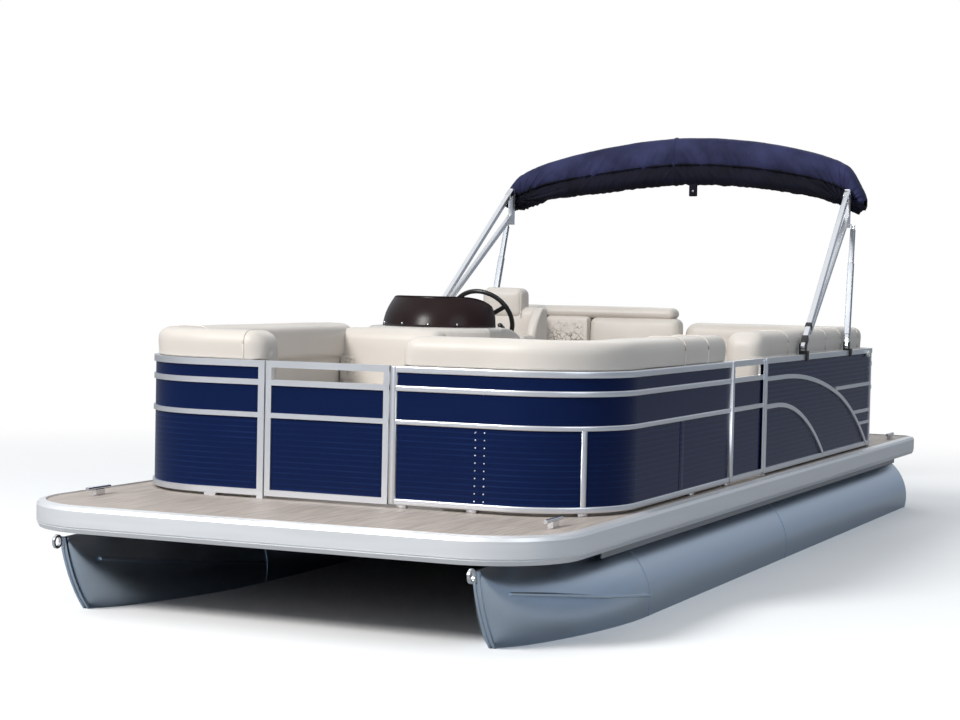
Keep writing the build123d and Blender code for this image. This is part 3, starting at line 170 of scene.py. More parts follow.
def two_tone(name, cloud, first, second, inputs, grain=None, bump=None):
    """A surface that drifts between two tones, with the relief of its grain or of the drift."""
    look = new_look(name)
    drift = look.noise(*cloud)
    inputs["Base Color"] = look.mix(look.ramp(drift), first, second)
    if bump:
        inputs["Normal"] = look.bump(look.noise(*grain) if grain else drift, *bump)
    return look.surface(inputs)


def plastic(name, colour, roughness, spread=0.08, scale=60.0, coat=0.0):
    """Moulded plastic or paint with a slight texture."""
    inputs = {"Roughness": roughness, "Coat Weight": coat, "Coat Roughness": 0.05}
    return two_tone(name, (scale,), scaled(colour, 1 - spread), colour, inputs, bump=(0.05, 0.001))


def vinyl(name, colour, shade):
    """Soft marine vinyl: leather grain and faint soiling."""
    inputs = {"Roughness": 0.48, "Subsurface Weight": 0.03, "Subsurface Radius": (0.01, 0.006, 0.004)}
    return two_tone(name, (2.2, 3.0), shade, colour, inputs, (420.0, 2.0), (0.12, 0.0006))


def canvas(name, colour):
    """Woven canvas with sun-faded patches."""
    faded = tuple(c * 1.9 + 0.001 for c in colour)
    inputs = {"Roughness": 0.72, "Specular IOR Level": 0.15}
    return two_tone(name, (5.0, 4.0), colour, faded, inputs, (900.0, 1.0), (0.2, 0.0008))


def smoked(name, colour):
    """Smoked acrylic, nearly opaque."""
    inputs = {"Roughness": 0.26, "Specular IOR Level": 0.16}
    return two_tone(name, (3.0,), colour, scaled(colour, 1.6), inputs)


def ribbed_paint(name, colour, rib_highlight):
    """Deep gloss paint on sheet panels; the lower panels and the port quarter have fine level ribs, whose
    thin crests carry a painted highlight, lighter in patches.
    """
    look = new_look(name)
    place = look.add("TexCoord", "Object")
    # A wave texture of scale 0.314 has one band to the metre
    wave = look.add("TexWave", "Fac", {"Vector": place, "Scale": 0.314 / RIB_PITCH}, bands_direction="Z")
    low = look.ramp(look.axis(place, "Z"), 1, 0, MIDDLE_RAIL_Z, MIDDLE_RAIL_Z + 0.002)
    aft = look.ramp(look.axis(place, "Y"), 0, 1, SIDE_GATE_AFT, SIDE_GATE_AFT + 0.002)
    ribs = look.join("MULTIPLY", look.join("MAXIMUM", low, aft), look.ramp(wave, 0, 1, 0.70, 0.98))
    # Painted highlight on the rib crests, stronger in noise patches
    shine = look.ramp(look.noise(3.0, 3.0, (1, 1, 4)), 0.25, 1.0)
    return look.surface({
        "Base Color": look.mix(look.join("MULTIPLY", ribs, shine), colour, rib_highlight),
        "Roughness": 0.20,
        "Specular IOR Level": 0.10,
        "Normal": look.bump(ribs, 0.25, 0.0015),
    })


def planks(name, colour):
    """Woven floor vinyl with streaks along the boat and faint plank joints."""
    look = new_look(name)
    light = scaled(colour, 1.38)
    streaks = look.noise(22.0, 6.0, (7.0, 0.22, 1.0))
    tone = look.noise(5.0, 2.0, (3.0, 0.4, 1.0))
    streaked = look.mix(look.ramp(streaks, 0, 1, 0.3, 0.7), scaled(colour, 0.50), light)
    toned = look.mix(look.ramp(tone), colour, light)
    wave = look.add("TexWave", "Fac", {"Vector": look.add("TexCoord", "Object"), "Scale": 3.6},
                    bands_direction="X", wave_profile="SAW")
    joint = look.ramp(wave, 1, 0, 0.0, 0.035)
    return look.surface({
        "Base Color": look.mix(joint, look.mix(0.30, streaked, toned), scaled(colour, 0.55)),
        "Roughness": 0.55,
        "Normal": look.bump(streaks, 0.25, 0.001),
    })


def printed_vinyl(name, colour, ink):
    """Seat inserts with a generic scribbled print that thins out at its edges."""
    look = new_look(name)
    place = look.add("TexCoord", "Object")
    warp = look.add("TexNoise", "Color", {"Vector": place, "Scale": 22.0})
    cells = look.add("TexVoronoi", "Distance", {"Vector": look.mix(0.06, place, warp), "Scale": 30.0},
                     feature="DISTANCE_TO_EDGE")
    share = look.ramp(cells, 1, 0, 0.03, 0.09)
    fades = [look.ramp(look.noise(9.0, 3.0), 0.15, 1, 0.40, 0.56)]
    whole = look.add("TexCoord", "Generated")
    for letter, reach in (("X", 0.14), ("Z", 0.20)):
        along = look.axis(whole, letter)
        fades.append(look.ramp(along, 0, 1, 0.02, reach))
        fades.append(look.ramp(along, 1, 0, 1 - reach, 0.98))
    for fade in fades:
        share = look.join("MULTIPLY", share, fade)
    return look.surface({"Base Color": look.mix(share, colour, ink), "Roughness": 0.5})


rail_metal = metal("rail_metal", RAIL, 0.30, (1, 1, 1), 1.5, 0.04, 0.82)
brace_metal = metal("brace_metal", (0.40, 0.42, 0.45), 0.55, (1, 1, 1), 3.0, 0.05)
stainless = metal("stainless", (0.75, 0.76, 0.78), 0.16, (1, 1, 1), 60.0, 0.08)
navy_paint = ribbed_paint("navy_paint", NAVY, NAVY_RIB_HIGHLIGHT)
black_plastic = plastic("black_plastic", (0.008, 0.008, 0.009), 0.35)
console_plastic = plastic("console_plastic", (0.54, 0.51, 0.475), 0.30, 0.04, 30.0, 0.2)
cream_vinyl = vinyl("cream_vinyl", CREAM, CREAM_SHADE)
seam_thread = vinyl("seam_thread", SEAM, CREAM)
print_vinyl = printed_vinyl("print_vinyl", CREAM, (0.16, 0.13, 0.11))
navy_canvas = canvas("navy_canvas", CANVAS)
canvas_painted_shade = canvas("canvas_painted_shade", CANVAS_PAINTED_SHADE)
dark_piping = canvas("dark_piping", (0.002, 0.002, 0.005))
screen_acrylic = smoked("screen_acrylic", SCREEN)
motor_paint = plastic("motor_paint", (0.012, 0.012, 0.014), 0.22, 0.1, 20.0, 0.5)
dial_black = plastic("dial_black", (0.004, 0.004, 0.005), 0.12, 0.1, 80.0, 0.6)

SLOT_MATERIALS = {
    "anodised_rail": rail_metal, "navy_panel": navy_paint,
    "tube_aluminium": metal("tube_metal", TUBE, 0.32, (9.0, 0.2, 9.0), 2.5, 0.03),
    "mill_aluminium": metal("mill_metal", (0.40, 0.41, 0.43), 0.45, (8, 1, 8)),
    "rub_aluminium": metal("rub_metal", (0.76, 0.77, 0.785), 0.36, (0.4, 0.4, 9.0), 3.0, 0.05, 0.50),
    "stainless": stainless,
    "base_moulding": plastic("base_plastic", (0.50, 0.46, 0.40), 0.5),
    "cream_vinyl": cream_vinyl,
    "deck_vinyl": planks("deck_vinyl", DECK),
    "console_gelcoat": console_plastic, "smoked_screen": screen_acrylic,
    "black_plastic": black_plastic,
    "wheel_rubber": plastic("rim_rubber", (0.006, 0.006, 0.006), 0.32),
    "navy_canvas": navy_canvas, "motor_paint": motor_paint,
    "engine_iron": metal("iron", (0.2, 0.2, 0.21), 0.6),
    "white_lens": plastic("white_lens", (0.8, 0.8, 0.78), 0.2),
}
for row in frame["record"]["subparts"]:
    piece = frame["nodes"][row["node"]]
    piece.data.materials.clear()
    piece.data.materials.append(SLOT_MATERIALS[row["material_slot"]])


# Mesh helpers

def mesh_object(name, points, faces, material):
    mesh = bpy.data.meshes.new(name)
    mesh.from_pydata([tuple(p) for p in points], [], faces)
    mesh.update()
    mesh.polygons.foreach_set("use_smooth", [True] * len(mesh.polygons))
    obj = bpy.data.objects.new(name, mesh)
    scene.collection.objects.link(obj)
    obj.data.materials.append(material)
    return obj


def grid_faces(rows, columns, closed_columns=True, closed_rows=False):
    faces = []
    for i in range(rows if closed_rows else rows - 1):
        for j in range(columns if closed_columns else columns - 1):
            k, m = (j + 1) % columns, (i + 1) % rows
            faces.append((i * columns + j, i * columns + k, m * columns + k, m * columns + j))
    return faces


def tube_faces(rows, columns):
    """Faces of a closed section carried along a path, with both ends shut."""
    last = (rows - 1) * columns
    return grid_faces(rows, columns) + [tuple(reversed(range(columns))), tuple(range(last, last + columns))]


def facing(point, normal):
    """A matrix at a point, its Z axis turned onto a normal."""
    turn = Vector((0, 0, 1)).rotation_difference(normal).to_matrix().to_4x4()
    return Matrix.Translation(point) @ turn


def along_tube(point, direction):
    """A matrix at a point, its Z axis along a tube and its X axis across the boat."""
    across = Vector((1, 0, 0))
    across = (across - direction * across.dot(direction)).normalized()
    turn = Matrix((across, direction.cross(across), direction)).transposed().to_4x4()
    return Matrix.Translation(point) @ turn


def mirrored(point, side):
    return Vector((side * point.x, point.y, point.z))


def cord(name, points, radius, material, closed=False, around=8):
    """A round cord through points."""
    count = len(points)
    rings = []
    for i, point in enumerate(points):
        before = points[i - 1] if closed or i else point
        after = points[(i + 1) % count] if closed or i < count - 1 else point
        along = (after - before).normalized()
        side = along.cross(Vector((0, 0, 1)))
        side = side.normalized() if side.length > 0.01 else Vector((1, 0, 0))
        up = side.cross(along)
        for j in range(around):
            angle = 2 * pi * j / around
            rings.append(point + side * cos(angle) * radius + up * sin(angle) * radius)
    return mesh_object(name, rings, grid_faces(count, around, closed_rows=closed), material)


def lathe(name, profile, place, material, around=32):
    """A turned piece: profile has (radius, height) pairs, place is a matrix."""
    points = []
    for radius, height in profile:
        for j in range(around):
            angle = 2 * pi * j / around
            points.append(place @ Vector((radius * cos(angle), radius * sin(angle), height)))
    return mesh_object(name, points, grid_faces(len(profile), around), material)


def axis_values(half, radius, inner):
    """Grid values along one edge of a rounded box, closer together over its round corners."""
    edge = [half - radius + radius * sin(radians(a)) for a in (0, 22.5, 45, 67.5)] + [half]
    middle = [(half - radius) * (2 * k / inner - 1) for k in range(1, inner)]
    return [-v for v in reversed(edge)] + middle + edge


def rounded_point(q, half, radius, crown):
    """A point of a plain box moved onto the rounded box, with each face bulged by its crown."""
    inside = Vector([max(-(h - radius), min(h - radius, v)) for v, h in zip(q, half)])
    away = q - inside
    out = inside + away.normalized() * radius if away.length > 1e-9 else q.copy()
    for k in range(3):
        if abs(abs(q[k]) - half[k]) < 1e-9:
            a, b = [q[m] / half[m] for m in range(3) if m != k]
            out[k] += copysign(crown[k], q[k]) * (1 - a * a) * (1 - b * b)
    return out


def rounded_box(name, low, high, radius, material, crown=(0, 0, 0), warp=None, place=None, inner=6):
    """A soft-edged box between two corners; warp bends its points, place is a matrix put on last."""
    low, high = Vector(low), Vector(high)
    centre = (low + high) / 2
    half = (high - low) / 2
    values = [axis_values(h, radius, inner) for h in half]
    points, index, faces = [], {}, []

    def vertex(q):
        key = tuple(round(c, 6) for c in q)
        if key not in index:
            index[key] = len(points)
            p = centre + rounded_point(q, half, radius, crown)
            p = warp(p) if warp else p
            points.append(place @ p if place else p)
        return index[key]

    for axis, sign in product(range(3), (-1, 1)):
        a, b = [k for k in range(3) if k != axis]
        turned = sign * (-1 if axis == 1 else 1) < 0
        for i, j in product(range(len(values[a]) - 1), range(len(values[b]) - 1)):
            corners = []
            for di, dj in ((0, 0), (1, 0), (1, 1), (0, 1)):
                q = Vector((0, 0, 0))
                q[axis], q[a], q[b] = sign * half[axis], values[a][i + di], values[b][j + dj]
                corners.append(vertex(q))
            faces.append(tuple(reversed(corners)) if turned else tuple(corners))
    return mesh_object(name, points, faces, material)


WELT_RADIUS = 0.0035


def edge_welt(name, low, high, radius, warp=None):
    """A sewn welt round the upper edge of a cushion."""
    low, high = Vector(low), Vector(high)
    centre = (low + high) / 2
    half = (high - low) / 2
    xs, ys = axis_values(half.x, radius, 6), axis_values(half.y, radius, 6)
    ring = [(half.x, y) for y in ys] + [(x, half.y) for x in reversed(xs)]
    ring += [(-half.x, y) for y in reversed(ys)] + [(x, -half.y) for x in xs]
    points = []
    for x, y in ring:
        p = centre + rounded_point(Vector((x, y, half.z)), half, radius, (0, 0, 0))
        p = warp(p) if warp else p
        if not points or (p - points[-1]).length > 0.004:
            points.append(p)
    return cord(name, points, WELT_RADIUS, seam_thread, True, 6)


def dress(piece, body, slot, *nodes, fill=None):
    """Puts a piece on its body and in place of the CAD nodes that it stands for; its slot is not used."""
    if nodes:
        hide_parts(*nodes)
    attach(piece, body)
    return piece


def soften(obj, amount, scale, seed):
    """Slow unevenness, as foam under vinyl has."""
    for v in obj.data.vertices:
        p = v.co * scale + Vector((seed, seed * 2, 0))
        v.co += v.normal * amount * noise.noise(p)
    obj.data.update()


def cushion(name, low, high, radius, body="hull", nodes=(), crown=(0.004, 0.004, 0.012), warp=None,
            welt=False):
    """A foam cushion in vinyl, with or without a welt round its upper edge."""
    pad = rounded_box(name, low, high, radius, cream_vinyl, crown, warp)
    soften(pad, 0.003, 4.0, len(name))
    dress(pad, body, "cream_vinyl", *nodes, fill=0.85)
    if welt:
        dress(edge_welt(name + "_welt", low, high, radius, warp), body, "cream_vinyl")


def print_patch(name, low, high, radius):
    """A printed insert let into a cushion."""
    dress(rounded_box(name, low, high, radius, print_vinyl), "hull", "cream_vinyl")


def cap_steps(start, end, cap, step=0.03):
    """Lengths along a roll, close together over its round ends."""
    sign = 1 if end > start else -1
    total = abs(end - start)
    near = [cap * (1 - cos(radians(a))) for a in range(0, 90, 10)]
    count = max(2, int((total - 2 * cap) / step))
    middle = [cap + (total - 2 * cap) * k / count for k in range(count + 1)]
    return [start + sign * s for s in near + middle + [total - s for s in reversed(near)]]


def swept(name, path, section, material, cap=0.0, foot=0.0):
    """A closed section swept along a plan path of (point, outward) pairs; section has (outward, up)
    pairs. Over the cap at each end the part above foot draws in to a round end."""
    lengths = [0.0]
    for (a, _), (b, _) in zip(path, path[1:]):
        lengths.append(lengths[-1] + (b - a).length)
    total = lengths[-1]
    middle = (min(a for a, _ in section) + max(a for a, _ in section)) / 2
    points = []
    for (point, outward), s in zip(path, lengths):
        edge = min(s, total - s)
        full = sqrt(max(0.0, 1 - (1 - edge / cap) ** 2)) if cap and edge < cap else 1.0
        for across, up in section:
            a = middle + (across - middle) * (0.30 + 0.70 * full)
            u = foot + (up - foot) * (0.40 + 0.60 * full) if up > foot else up
            points.append(point + outward * a + Vector((0, 0, u)))
    return mesh_object(name, points, tube_faces(len(path), len(section)), material)


def fence_path(inset, steps):
    """Points along the fence's plan set in by inset, at lengths counted from the bow's middle:
    positive lengths run to port and aft, negative ones to starboard."""
    half = FENCE_X - inset
    bow = FENCE_BOW_Y + inset
    stern = FENCE_STERN_Y - inset
    radius = FENCE_BOW_RADIUS - inset
    aft_radius = max(FENCE_STERN_RADIUS - inset, AFT_CORNER)
    front = half - radius
    arc = radius * pi / 2
    side = stern - aft_radius - (bow + radius)
    aft_arc = aft_radius * pi / 2
    path = []
    for s in steps:
        sign = 1 if s >= 0 else -1
        d = abs(s)
        if d <= front:
            point, outward = Vector((d, bow, 0)), Vector((0, -1, 0))
        elif d <= front + arc:
            angle = (d - front) / radius
            outward = Vector((sin(angle), -cos(angle), 0))
            point = Vector((front, bow + radius, 0)) + outward * radius
        elif d <= front + arc + side:
            point = Vector((half, bow + radius + d - front - arc, 0))
            outward = Vector((1, 0, 0))
        elif d <= front + arc + side + aft_arc:
            angle = (d - front - arc - side) / aft_radius
            outward = Vector((cos(angle), sin(angle), 0))
            point = Vector((half - aft_radius, stern - aft_radius, 0)) + outward * aft_radius
        else:
            outward = Vector((0, 1, 0))
            point = Vector((half - aft_radius - (d - front - arc - side - aft_arc), stern, 0))
        point.x *= sign
        path.append((point, Vector((outward.x * sign, outward.y, 0))))
    return path


def path_length(inset, y):
    """The length from the bow's middle to where the inset path crosses y at the side."""
    radius = FENCE_BOW_RADIUS - inset
    return FENCE_X - FENCE_BOW_RADIUS + radius * pi / 2 + y - (FENCE_BOW_Y + FENCE_BOW_RADIUS)


# Bolsters: a fat roll over the rail with a tucked back below it

ROLL_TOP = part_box("lounge_back_bow_port")[1].z
ROLL_FOOT = RAIL_TOP + 0.001
ROLL_CAP = 0.085
ROLL_UNDERSIDE = (1.060, 1.045)
ROLL_MIDDLE_Z = 1.17
SEAM_FOOT = 1.105
SEAM_RADIUS = 0.003
PRINT_Z = (0.925, 1.035)
PRINT_MARGIN = 0.10


def bolster_section(inset, depth):
    """Outward and up, round the cushion; outward 0 is the roll's outer face."""
    back_out = min(-0.003, inset - BACK_OUT)
    back_in = inset - BACK_IN
    # Columns: outward, up, radius of the corner
    corners = [
        (-0.012, ROLL_FOOT, 0.012), (-0.004, ROLL_TOP, 0.085), (-depth, ROLL_TOP - 0.004, 0.075),
        (-depth + 0.006, ROLL_UNDERSIDE[0], 0.03), (-depth + 0.030, ROLL_UNDERSIDE[1], 0.02),
        (back_in, BASE_TOP + 0.002, 0.02), (back_out, BASE_TOP + 0.002, 0.02), (back_out, ROLL_FOOT, 0.008),
    ]
    points = []
    for i, (a, u, r) in enumerate(corners):
        here = Vector((a, u))
        before = (Vector(corners[i - 1][:2]) - here).normalized()
        after = (Vector(corners[(i + 1) % len(corners)][:2]) - here).normalized()
        start = here + before * min(r, (Vector(corners[i - 1][:2]) - here).length / 2)
        end = here + after * r
        for k in range(7):
            t = k / 6
            p = start * (1 - t) ** 2 + here * 2 * t * (1 - t) + end * t ** 2
            points.append((p.x, p.y))
    return points


def seam_loop(name, inset, section, s):
    """A sewn welt over the roll at one place along its path."""
    point, outward = fence_path(inset, [s])[0]
    middle = sum(a for a, _ in section) / len(section)
    points = []
    for a, u in section:
        if u > SEAM_FOOT:
            up = Vector((0, 0, ROLL_MIDDLE_Z + (u - ROLL_MIDDLE_Z) * 1.03))
            points.append(point + outward * (middle + (a - middle) * 1.025) + up)
    return cord(name, points, SEAM_RADIUS, seam_thread, False, 6)


def make_bolster(name, node, inset, depth, start, end, seams, seed):
    section = bolster_section(inset, depth)
    path = fence_path(inset, cap_steps(start, end, ROLL_CAP))
    roll = swept(name, path, section, cream_vinyl, ROLL_CAP, ROLL_FOOT)
    soften(roll, 0.0035, 2.6, seed)
    dress(roll, "hull", "cream_vinyl", node, fill=0.85)
    for k, s in enumerate(seams):
        dress(seam_loop(f"{name}_welt_{k}", inset, section, s), "hull", "cream_vinyl")
    inner = inset - BACK_IN
    strip = [(inner + 0.006, PRINT_Z[0]), (inner - 0.003, PRINT_Z[0] + 0.005),
             (inner - 0.003, PRINT_Z[1] - 0.005), (inner + 0.006, PRINT_Z[1])]
    margin = copysign(PRINT_MARGIN, end - start)
    steps = cap_steps(start + margin, end - margin, 0.02)
    dress(swept(name + "_print", fence_path(inset, steps), strip, print_vinyl), "hull", "cream_vinyl")


BOW_INSET = 0.010
BOW_DEPTH = 0.235
AFT_INSET = 0.050
AFT_DEPTH = 0.215
GATE_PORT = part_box("lounge_back_bow_port")[0].x
GATE_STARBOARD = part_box("bow_gate_frame")[0].x - 0.030
bow_port_end = path_length(BOW_INSET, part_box("lounge_back_bow_port")[1].y)
bow_starboard_end = path_length(BOW_INSET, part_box("lounge_back_bow_starboard")[1].y)
make_bolster("bolster_bow_port", "lounge_back_bow_port", BOW_INSET, BOW_DEPTH, GATE_PORT, bow_port_end,
             [bow_port_end - 0.72, bow_port_end - 0.36], 1.0)
make_bolster("bolster_bow_starboard", "lounge_back_bow_starboard", BOW_INSET, BOW_DEPTH,
             -bow_starboard_end, GATE_STARBOARD, [GATE_STARBOARD - 0.09, -1.45], 2.0)
aft_start = path_length(AFT_INSET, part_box("lounge_back_aft_port")[0].y)
aft_corner = path_length(AFT_INSET, FENCE_STERN_Y - AFT_INSET - AFT_CORNER)
aft_end = aft_corner + AFT_CORNER * pi / 2 + FENCE_X - AFT_INSET - AFT_CORNER - 0.012
make_bolster("bolster_aft_port", "lounge_back_aft_port", AFT_INSET, AFT_DEPTH, aft_start, aft_end,
             [aft_start + 0.55, aft_start + 1.40, aft_start + 1.75, aft_corner - 0.08], 3.0)

# The back across the starboard bow lounge, before the console
CROSS_LOW = Vector((-1.030, -0.765, BASE_TOP + 0.002))
CROSS_HIGH = Vector((-0.415, -0.600, 1.212))
cushion("cross_back", CROSS_LOW, CROSS_HIGH, 0.060, nodes=("lounge_back_bow_starboard",),
        crown=(0.004, 0.010, 0.006))
print_patch("cross_back_print", (CROSS_LOW.x + 0.030, CROSS_LOW.y - 0.006, 0.930),
            (CROSS_HIGH.x - 0.055, CROSS_LOW.y + 0.010, 1.060), 0.006)


# Seat cushions on the lounge bases

SEAT_MARGIN = 0.002
SEAT_LOW = BASE_TOP + 0.0005
SEAT_OUT_X = FENCE_X - BACK_IN - SEAT_MARGIN
SEAT_BOW_Y = FENCE_BOW_Y + BACK_IN + 0.003
SEAT_ROUND = 0.025
SEAT_HALF_GAP = 0.0015
BOW_SEAT_CUT = -1.59
AFT_SEAT_WIDTH = 0.580
AFT_SEAT_CUTS = (0.56, 1.12, 1.690)
BENCH_FRONT_Y = 1.692
BENCH_CUTS = (0.012, 0.52)
QUARTER_CUT = -0.475


def seat_edge(y):
    """How far out the bow seats reach at y, round the bow's corner."""
    radius = FENCE_BOW_RADIUS - BACK_IN - SEAT_MARGIN
    turn_y = FENCE_BOW_Y + BACK_IN + SEAT_MARGIN + radius
    if y >= turn_y:
        return SEAT_OUT_X
    return SEAT_OUT_X - radius + sqrt(max(0.0, radius ** 2 - (turn_y - y) ** 2))


def bow_seat_warp(side, inner):
    """Squeezes a straight cushion to the bow's round corner on one side of the boat."""
    def warp(p):
        share = (side * p.x - inner) / (SEAT_OUT_X - inner)
        return Vector((side * (inner + share * (seat_edge(p.y) - inner)), p.y, p.z))
    return warp


def seat_row(name, node, xs, ys, warp=None):
    """Cushions side by side for one CAD seat. The range with more than two values holds the cuts."""
    along_y = len(ys) > 2 or len(xs) == 2
    cuts = ys if along_y else xs
    for k, (a, b) in enumerate(zip(cuts, cuts[1:])):
        x0, x1 = xs if along_y else (a, b)
        y0, y1 = (a, b) if along_y else ys
        cushion(f"{name}_{k}", (x0, y0 + SEAT_HALF_GAP, SEAT_LOW), (x1, y1 - SEAT_HALF_GAP, SEAT_TOP),
                SEAT_ROUND, nodes=(node,), warp=warp, welt=True)


bow_port_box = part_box("lounge_seat_bow_port")
bow_starboard_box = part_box("lounge_seat_bow_starboard")
aft_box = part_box("lounge_seat_aft_port")
quarter_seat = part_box("lounge_seat_aft_starboard")
seat_row("seat_bow_port", "lounge_seat_bow_port", (bow_port_box[0].x, SEAT_OUT_X),
         (SEAT_BOW_Y, BOW_SEAT_CUT, bow_port_box[1].y), bow_seat_warp(1, abs(bow_port_box[0].x)))
seat_row("seat_bow_starboard", "lounge_seat_bow_starboard", (-SEAT_OUT_X, bow_starboard_box[1].x),
         (SEAT_BOW_Y, BOW_SEAT_CUT, CROSS_LOW.y - 0.002), bow_seat_warp(-1, abs(bow_starboard_box[1].x)))
seat_row("seat_aft_port", "lounge_seat_aft_port", (FENCE_X - AFT_SEAT_WIDTH, SEAT_OUT_X),
         (aft_box[0].y, *AFT_SEAT_CUTS))
seat_row("seat_stern", "lounge_seat_aft_port", (*BENCH_CUTS, SEAT_OUT_X),
         (BENCH_FRONT_Y, FENCE_STERN_Y - BACK_IN - 0.004))
seat_row("seat_quarter", "lounge_seat_aft_starboard",
         (quarter_seat[0].x + 0.002, QUARTER_CUT, quarter_seat[1].x), (quarter_seat[0].y, quarter_seat[1].y))

# The quarter back: a wing, two upholstered panels and a top roll
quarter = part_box("lounge_back_aft_starboard")
WING_IN = quarter_seat[0].x
WING_SET_IN = 0.022
BACK_Y = quarter_seat[1].y + 0.001
PANEL_AFT_Y = quarter[1].y - 0.020
PANEL_SPLIT = (-0.617, -0.615)
ROLL_SEAM = quarter[1].z - 0.062
# Columns: name, lower corner, upper corner, edge radius, crown
QUARTER_PARTS = (
    ("wing", (quarter[0].x + WING_SET_IN, quarter[0].y, quarter[0].z),
     (WING_IN, quarter[1].y, quarter[1].z), 0.045, (0.004, 0.004, 0.004)),
    ("panel_port", (PANEL_SPLIT[1], BACK_Y - 0.012, SEAT_LOW),
     (quarter[1].x + 0.012, PANEL_AFT_Y, ROLL_SEAM - 0.006), 0.045, (0.006, 0.016, 0.004)),
    ("panel_starboard", (WING_IN, BACK_Y - 0.008, SEAT_LOW),
     (PANEL_SPLIT[0], PANEL_AFT_Y, ROLL_SEAM - 0.002), 0.030, (0.002, 0.008, 0.002)),
    ("roll", (WING_IN - 0.04, BACK_Y + 0.006, ROLL_SEAM - 0.010),
     (quarter[1].x - 0.03, quarter[1].y, quarter[1].z), 0.034, (0.006, 0.006, 0.004)),
)
for label, low, high, radius, crown in QUARTER_PARTS:
    cushion("quarter_" + label, low, high, radius, nodes=("lounge_back_aft_starboard",), crown=crown)
print_patch("quarter_print", (WING_IN + 0.01, BACK_Y - 0.024, 0.945),
            (PANEL_SPLIT[0] - 0.008, BACK_Y, 1.245), 0.008)
print_patch("wing_print", (WING_IN - 0.008, quarter[0].y + 0.05, 0.960),
            (WING_IN + 0.006, BACK_Y - 0.03, 1.235), 0.006)

# Helm chair: seat, back, headrest, two side wings and two arms
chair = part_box("helm_chair")
CHAIR_X = (chair[0].x + chair[1].x) / 2
CHAIR_HALF = 0.235
HEAD_HALF = 0.135
ARM_X = (0.222, 0.282)
CHAIR_PIVOT_Y = 0.960
CHAIR_FRONT_Y = 0.734
ARM_FRONT_Y = 0.842
CHAIR_BACK_Y = chair[1].y
WING_BACK_Y = CHAIR_BACK_Y - 0.06
CHAIR_PLATE_TOP = chair[0].z + 0.030
PLATE_RADIUS = 0.090
BACK_FOOT = 0.885
CHAIR_SEAT_TOP = 0.980
ARM_TOP = 1.150
WING_TIP = chair[1].z - 0.105
HEAD_FOOT = chair[1].z - 0.128


def wing_warp(p):
    """Draws the wing back as it rises, to a crescent."""
    share = max(0.0, min(1.0, (p.z - CHAIR_SEAT_TOP) / (WING_TIP - CHAIR_SEAT_TOP)))
    reach = sqrt(max(0.02, 1 - share ** 2.4))
    return Vector((p.x, WING_BACK_Y - (WING_BACK_Y - p.y) * reach, p.z))


def chair_pad(name, low, high, radius, crown, warp=None, welt=False):
    cushion("chair_" + name, low, high, radius, "helm_chair", ("helm_chair",), crown, warp, welt)


chair_pad("seat", (CHAIR_X - CHAIR_HALF, CHAIR_FRONT_Y, CHAIR_PLATE_TOP),
          (CHAIR_X + CHAIR_HALF, CHAIR_BACK_Y - 0.11, CHAIR_SEAT_TOP), 0.045, (0.004, 0.004, 0.012),
          welt=True)
chair_pad("back", (CHAIR_X - CHAIR_HALF, CHAIR_BACK_Y - 0.128, BACK_FOOT),
          (CHAIR_X + CHAIR_HALF, CHAIR_BACK_Y, HEAD_FOOT + 0.01), 0.045, (0.004, 0.014, 0.004))
chair_pad("head", (CHAIR_X - HEAD_HALF, CHAIR_BACK_Y - 0.142, HEAD_FOOT - 0.062),
          (CHAIR_X + HEAD_HALF, CHAIR_BACK_Y, chair[1].z), 0.040, (0.006, 0.008, 0.003))
head_side = [Vector((CHAIR_X + HEAD_HALF - 0.007, CHAIR_BACK_Y - 0.140, HEAD_FOOT - 0.055 + k * 0.0175))
             for k in range(10)]
dress(cord("chair_head_welt", head_side, 0.0028, seam_thread, False, 6), "helm_chair", "cream_vinyl")
for side, label in SIDES:
    x0, x1 = sorted(CHAIR_X + side * x for x in ARM_X)
    chair_pad(f"wing_{label}", (x0, CHAIR_BACK_Y - 0.30, CHAIR_SEAT_TOP),
              (x1, WING_BACK_Y, HEAD_FOOT + 0.012), 0.027, (0.003, 0.002, 0.002), wing_warp)
    chair_pad(f"arm_{label}", (x0, ARM_FRONT_Y, BACK_FOOT), (x1, CHAIR_BACK_Y - 0.10, ARM_TOP),
              0.027, (0.003, 0.002, 0.004))
plate = [(0.0, chair[0].z), (PLATE_RADIUS - 0.002, chair[0].z), (PLATE_RADIUS, chair[0].z + 0.003),
         (PLATE_RADIUS, CHAIR_PLATE_TOP - 0.002), (0.0, CHAIR_PLATE_TOP - 0.001)]
dress(lathe("chair_swivel_plate", plate, Matrix.Translation((CHAIR_X, CHAIR_PIVOT_Y, 0)), black_plastic),
      "helm_chair", "black_plastic")

# Dash: three dials with bright bezels, and the throttle
DASH_TOP = Vector((0, 0.120, 1.216))
DASH_FOOT = Vector((0, 0.401, 1.090))
DASH_NORMAL = Vector((0, 0.409, 0.912))
# Columns: x, share of the way down the dash, radius
DIALS = ((-1.020, 0.42, 0.048), (-0.900, 0.42, 0.048), (-0.545, 0.24, 0.030))
THROTTLE_PLACE = (-0.520, 0.62)
# Columns: name, lower corner, upper corner, edge radius, material, slot
THROTTLE_PARTS = (
    ("box", (-0.035, -0.06, 0.001), (0.035, 0.06, 0.050), 0.012, black_plastic, "black_plastic"),
    ("lever", (-0.009, -0.012, 0.045), (0.009, 0.012, 0.085), 0.008, stainless, "stainless"),
    ("grip", (-0.014, -0.020, 0.080), (0.014, 0.045, 0.104), 0.010, black_plastic, "black_plastic"),
)


def dash_place(x, share):
    """A matrix at a place on the dash, its Z axis square to it."""
    point = DASH_TOP + (DASH_FOOT - DASH_TOP) * share
    return facing((x, point.y, point.z), DASH_NORMAL)


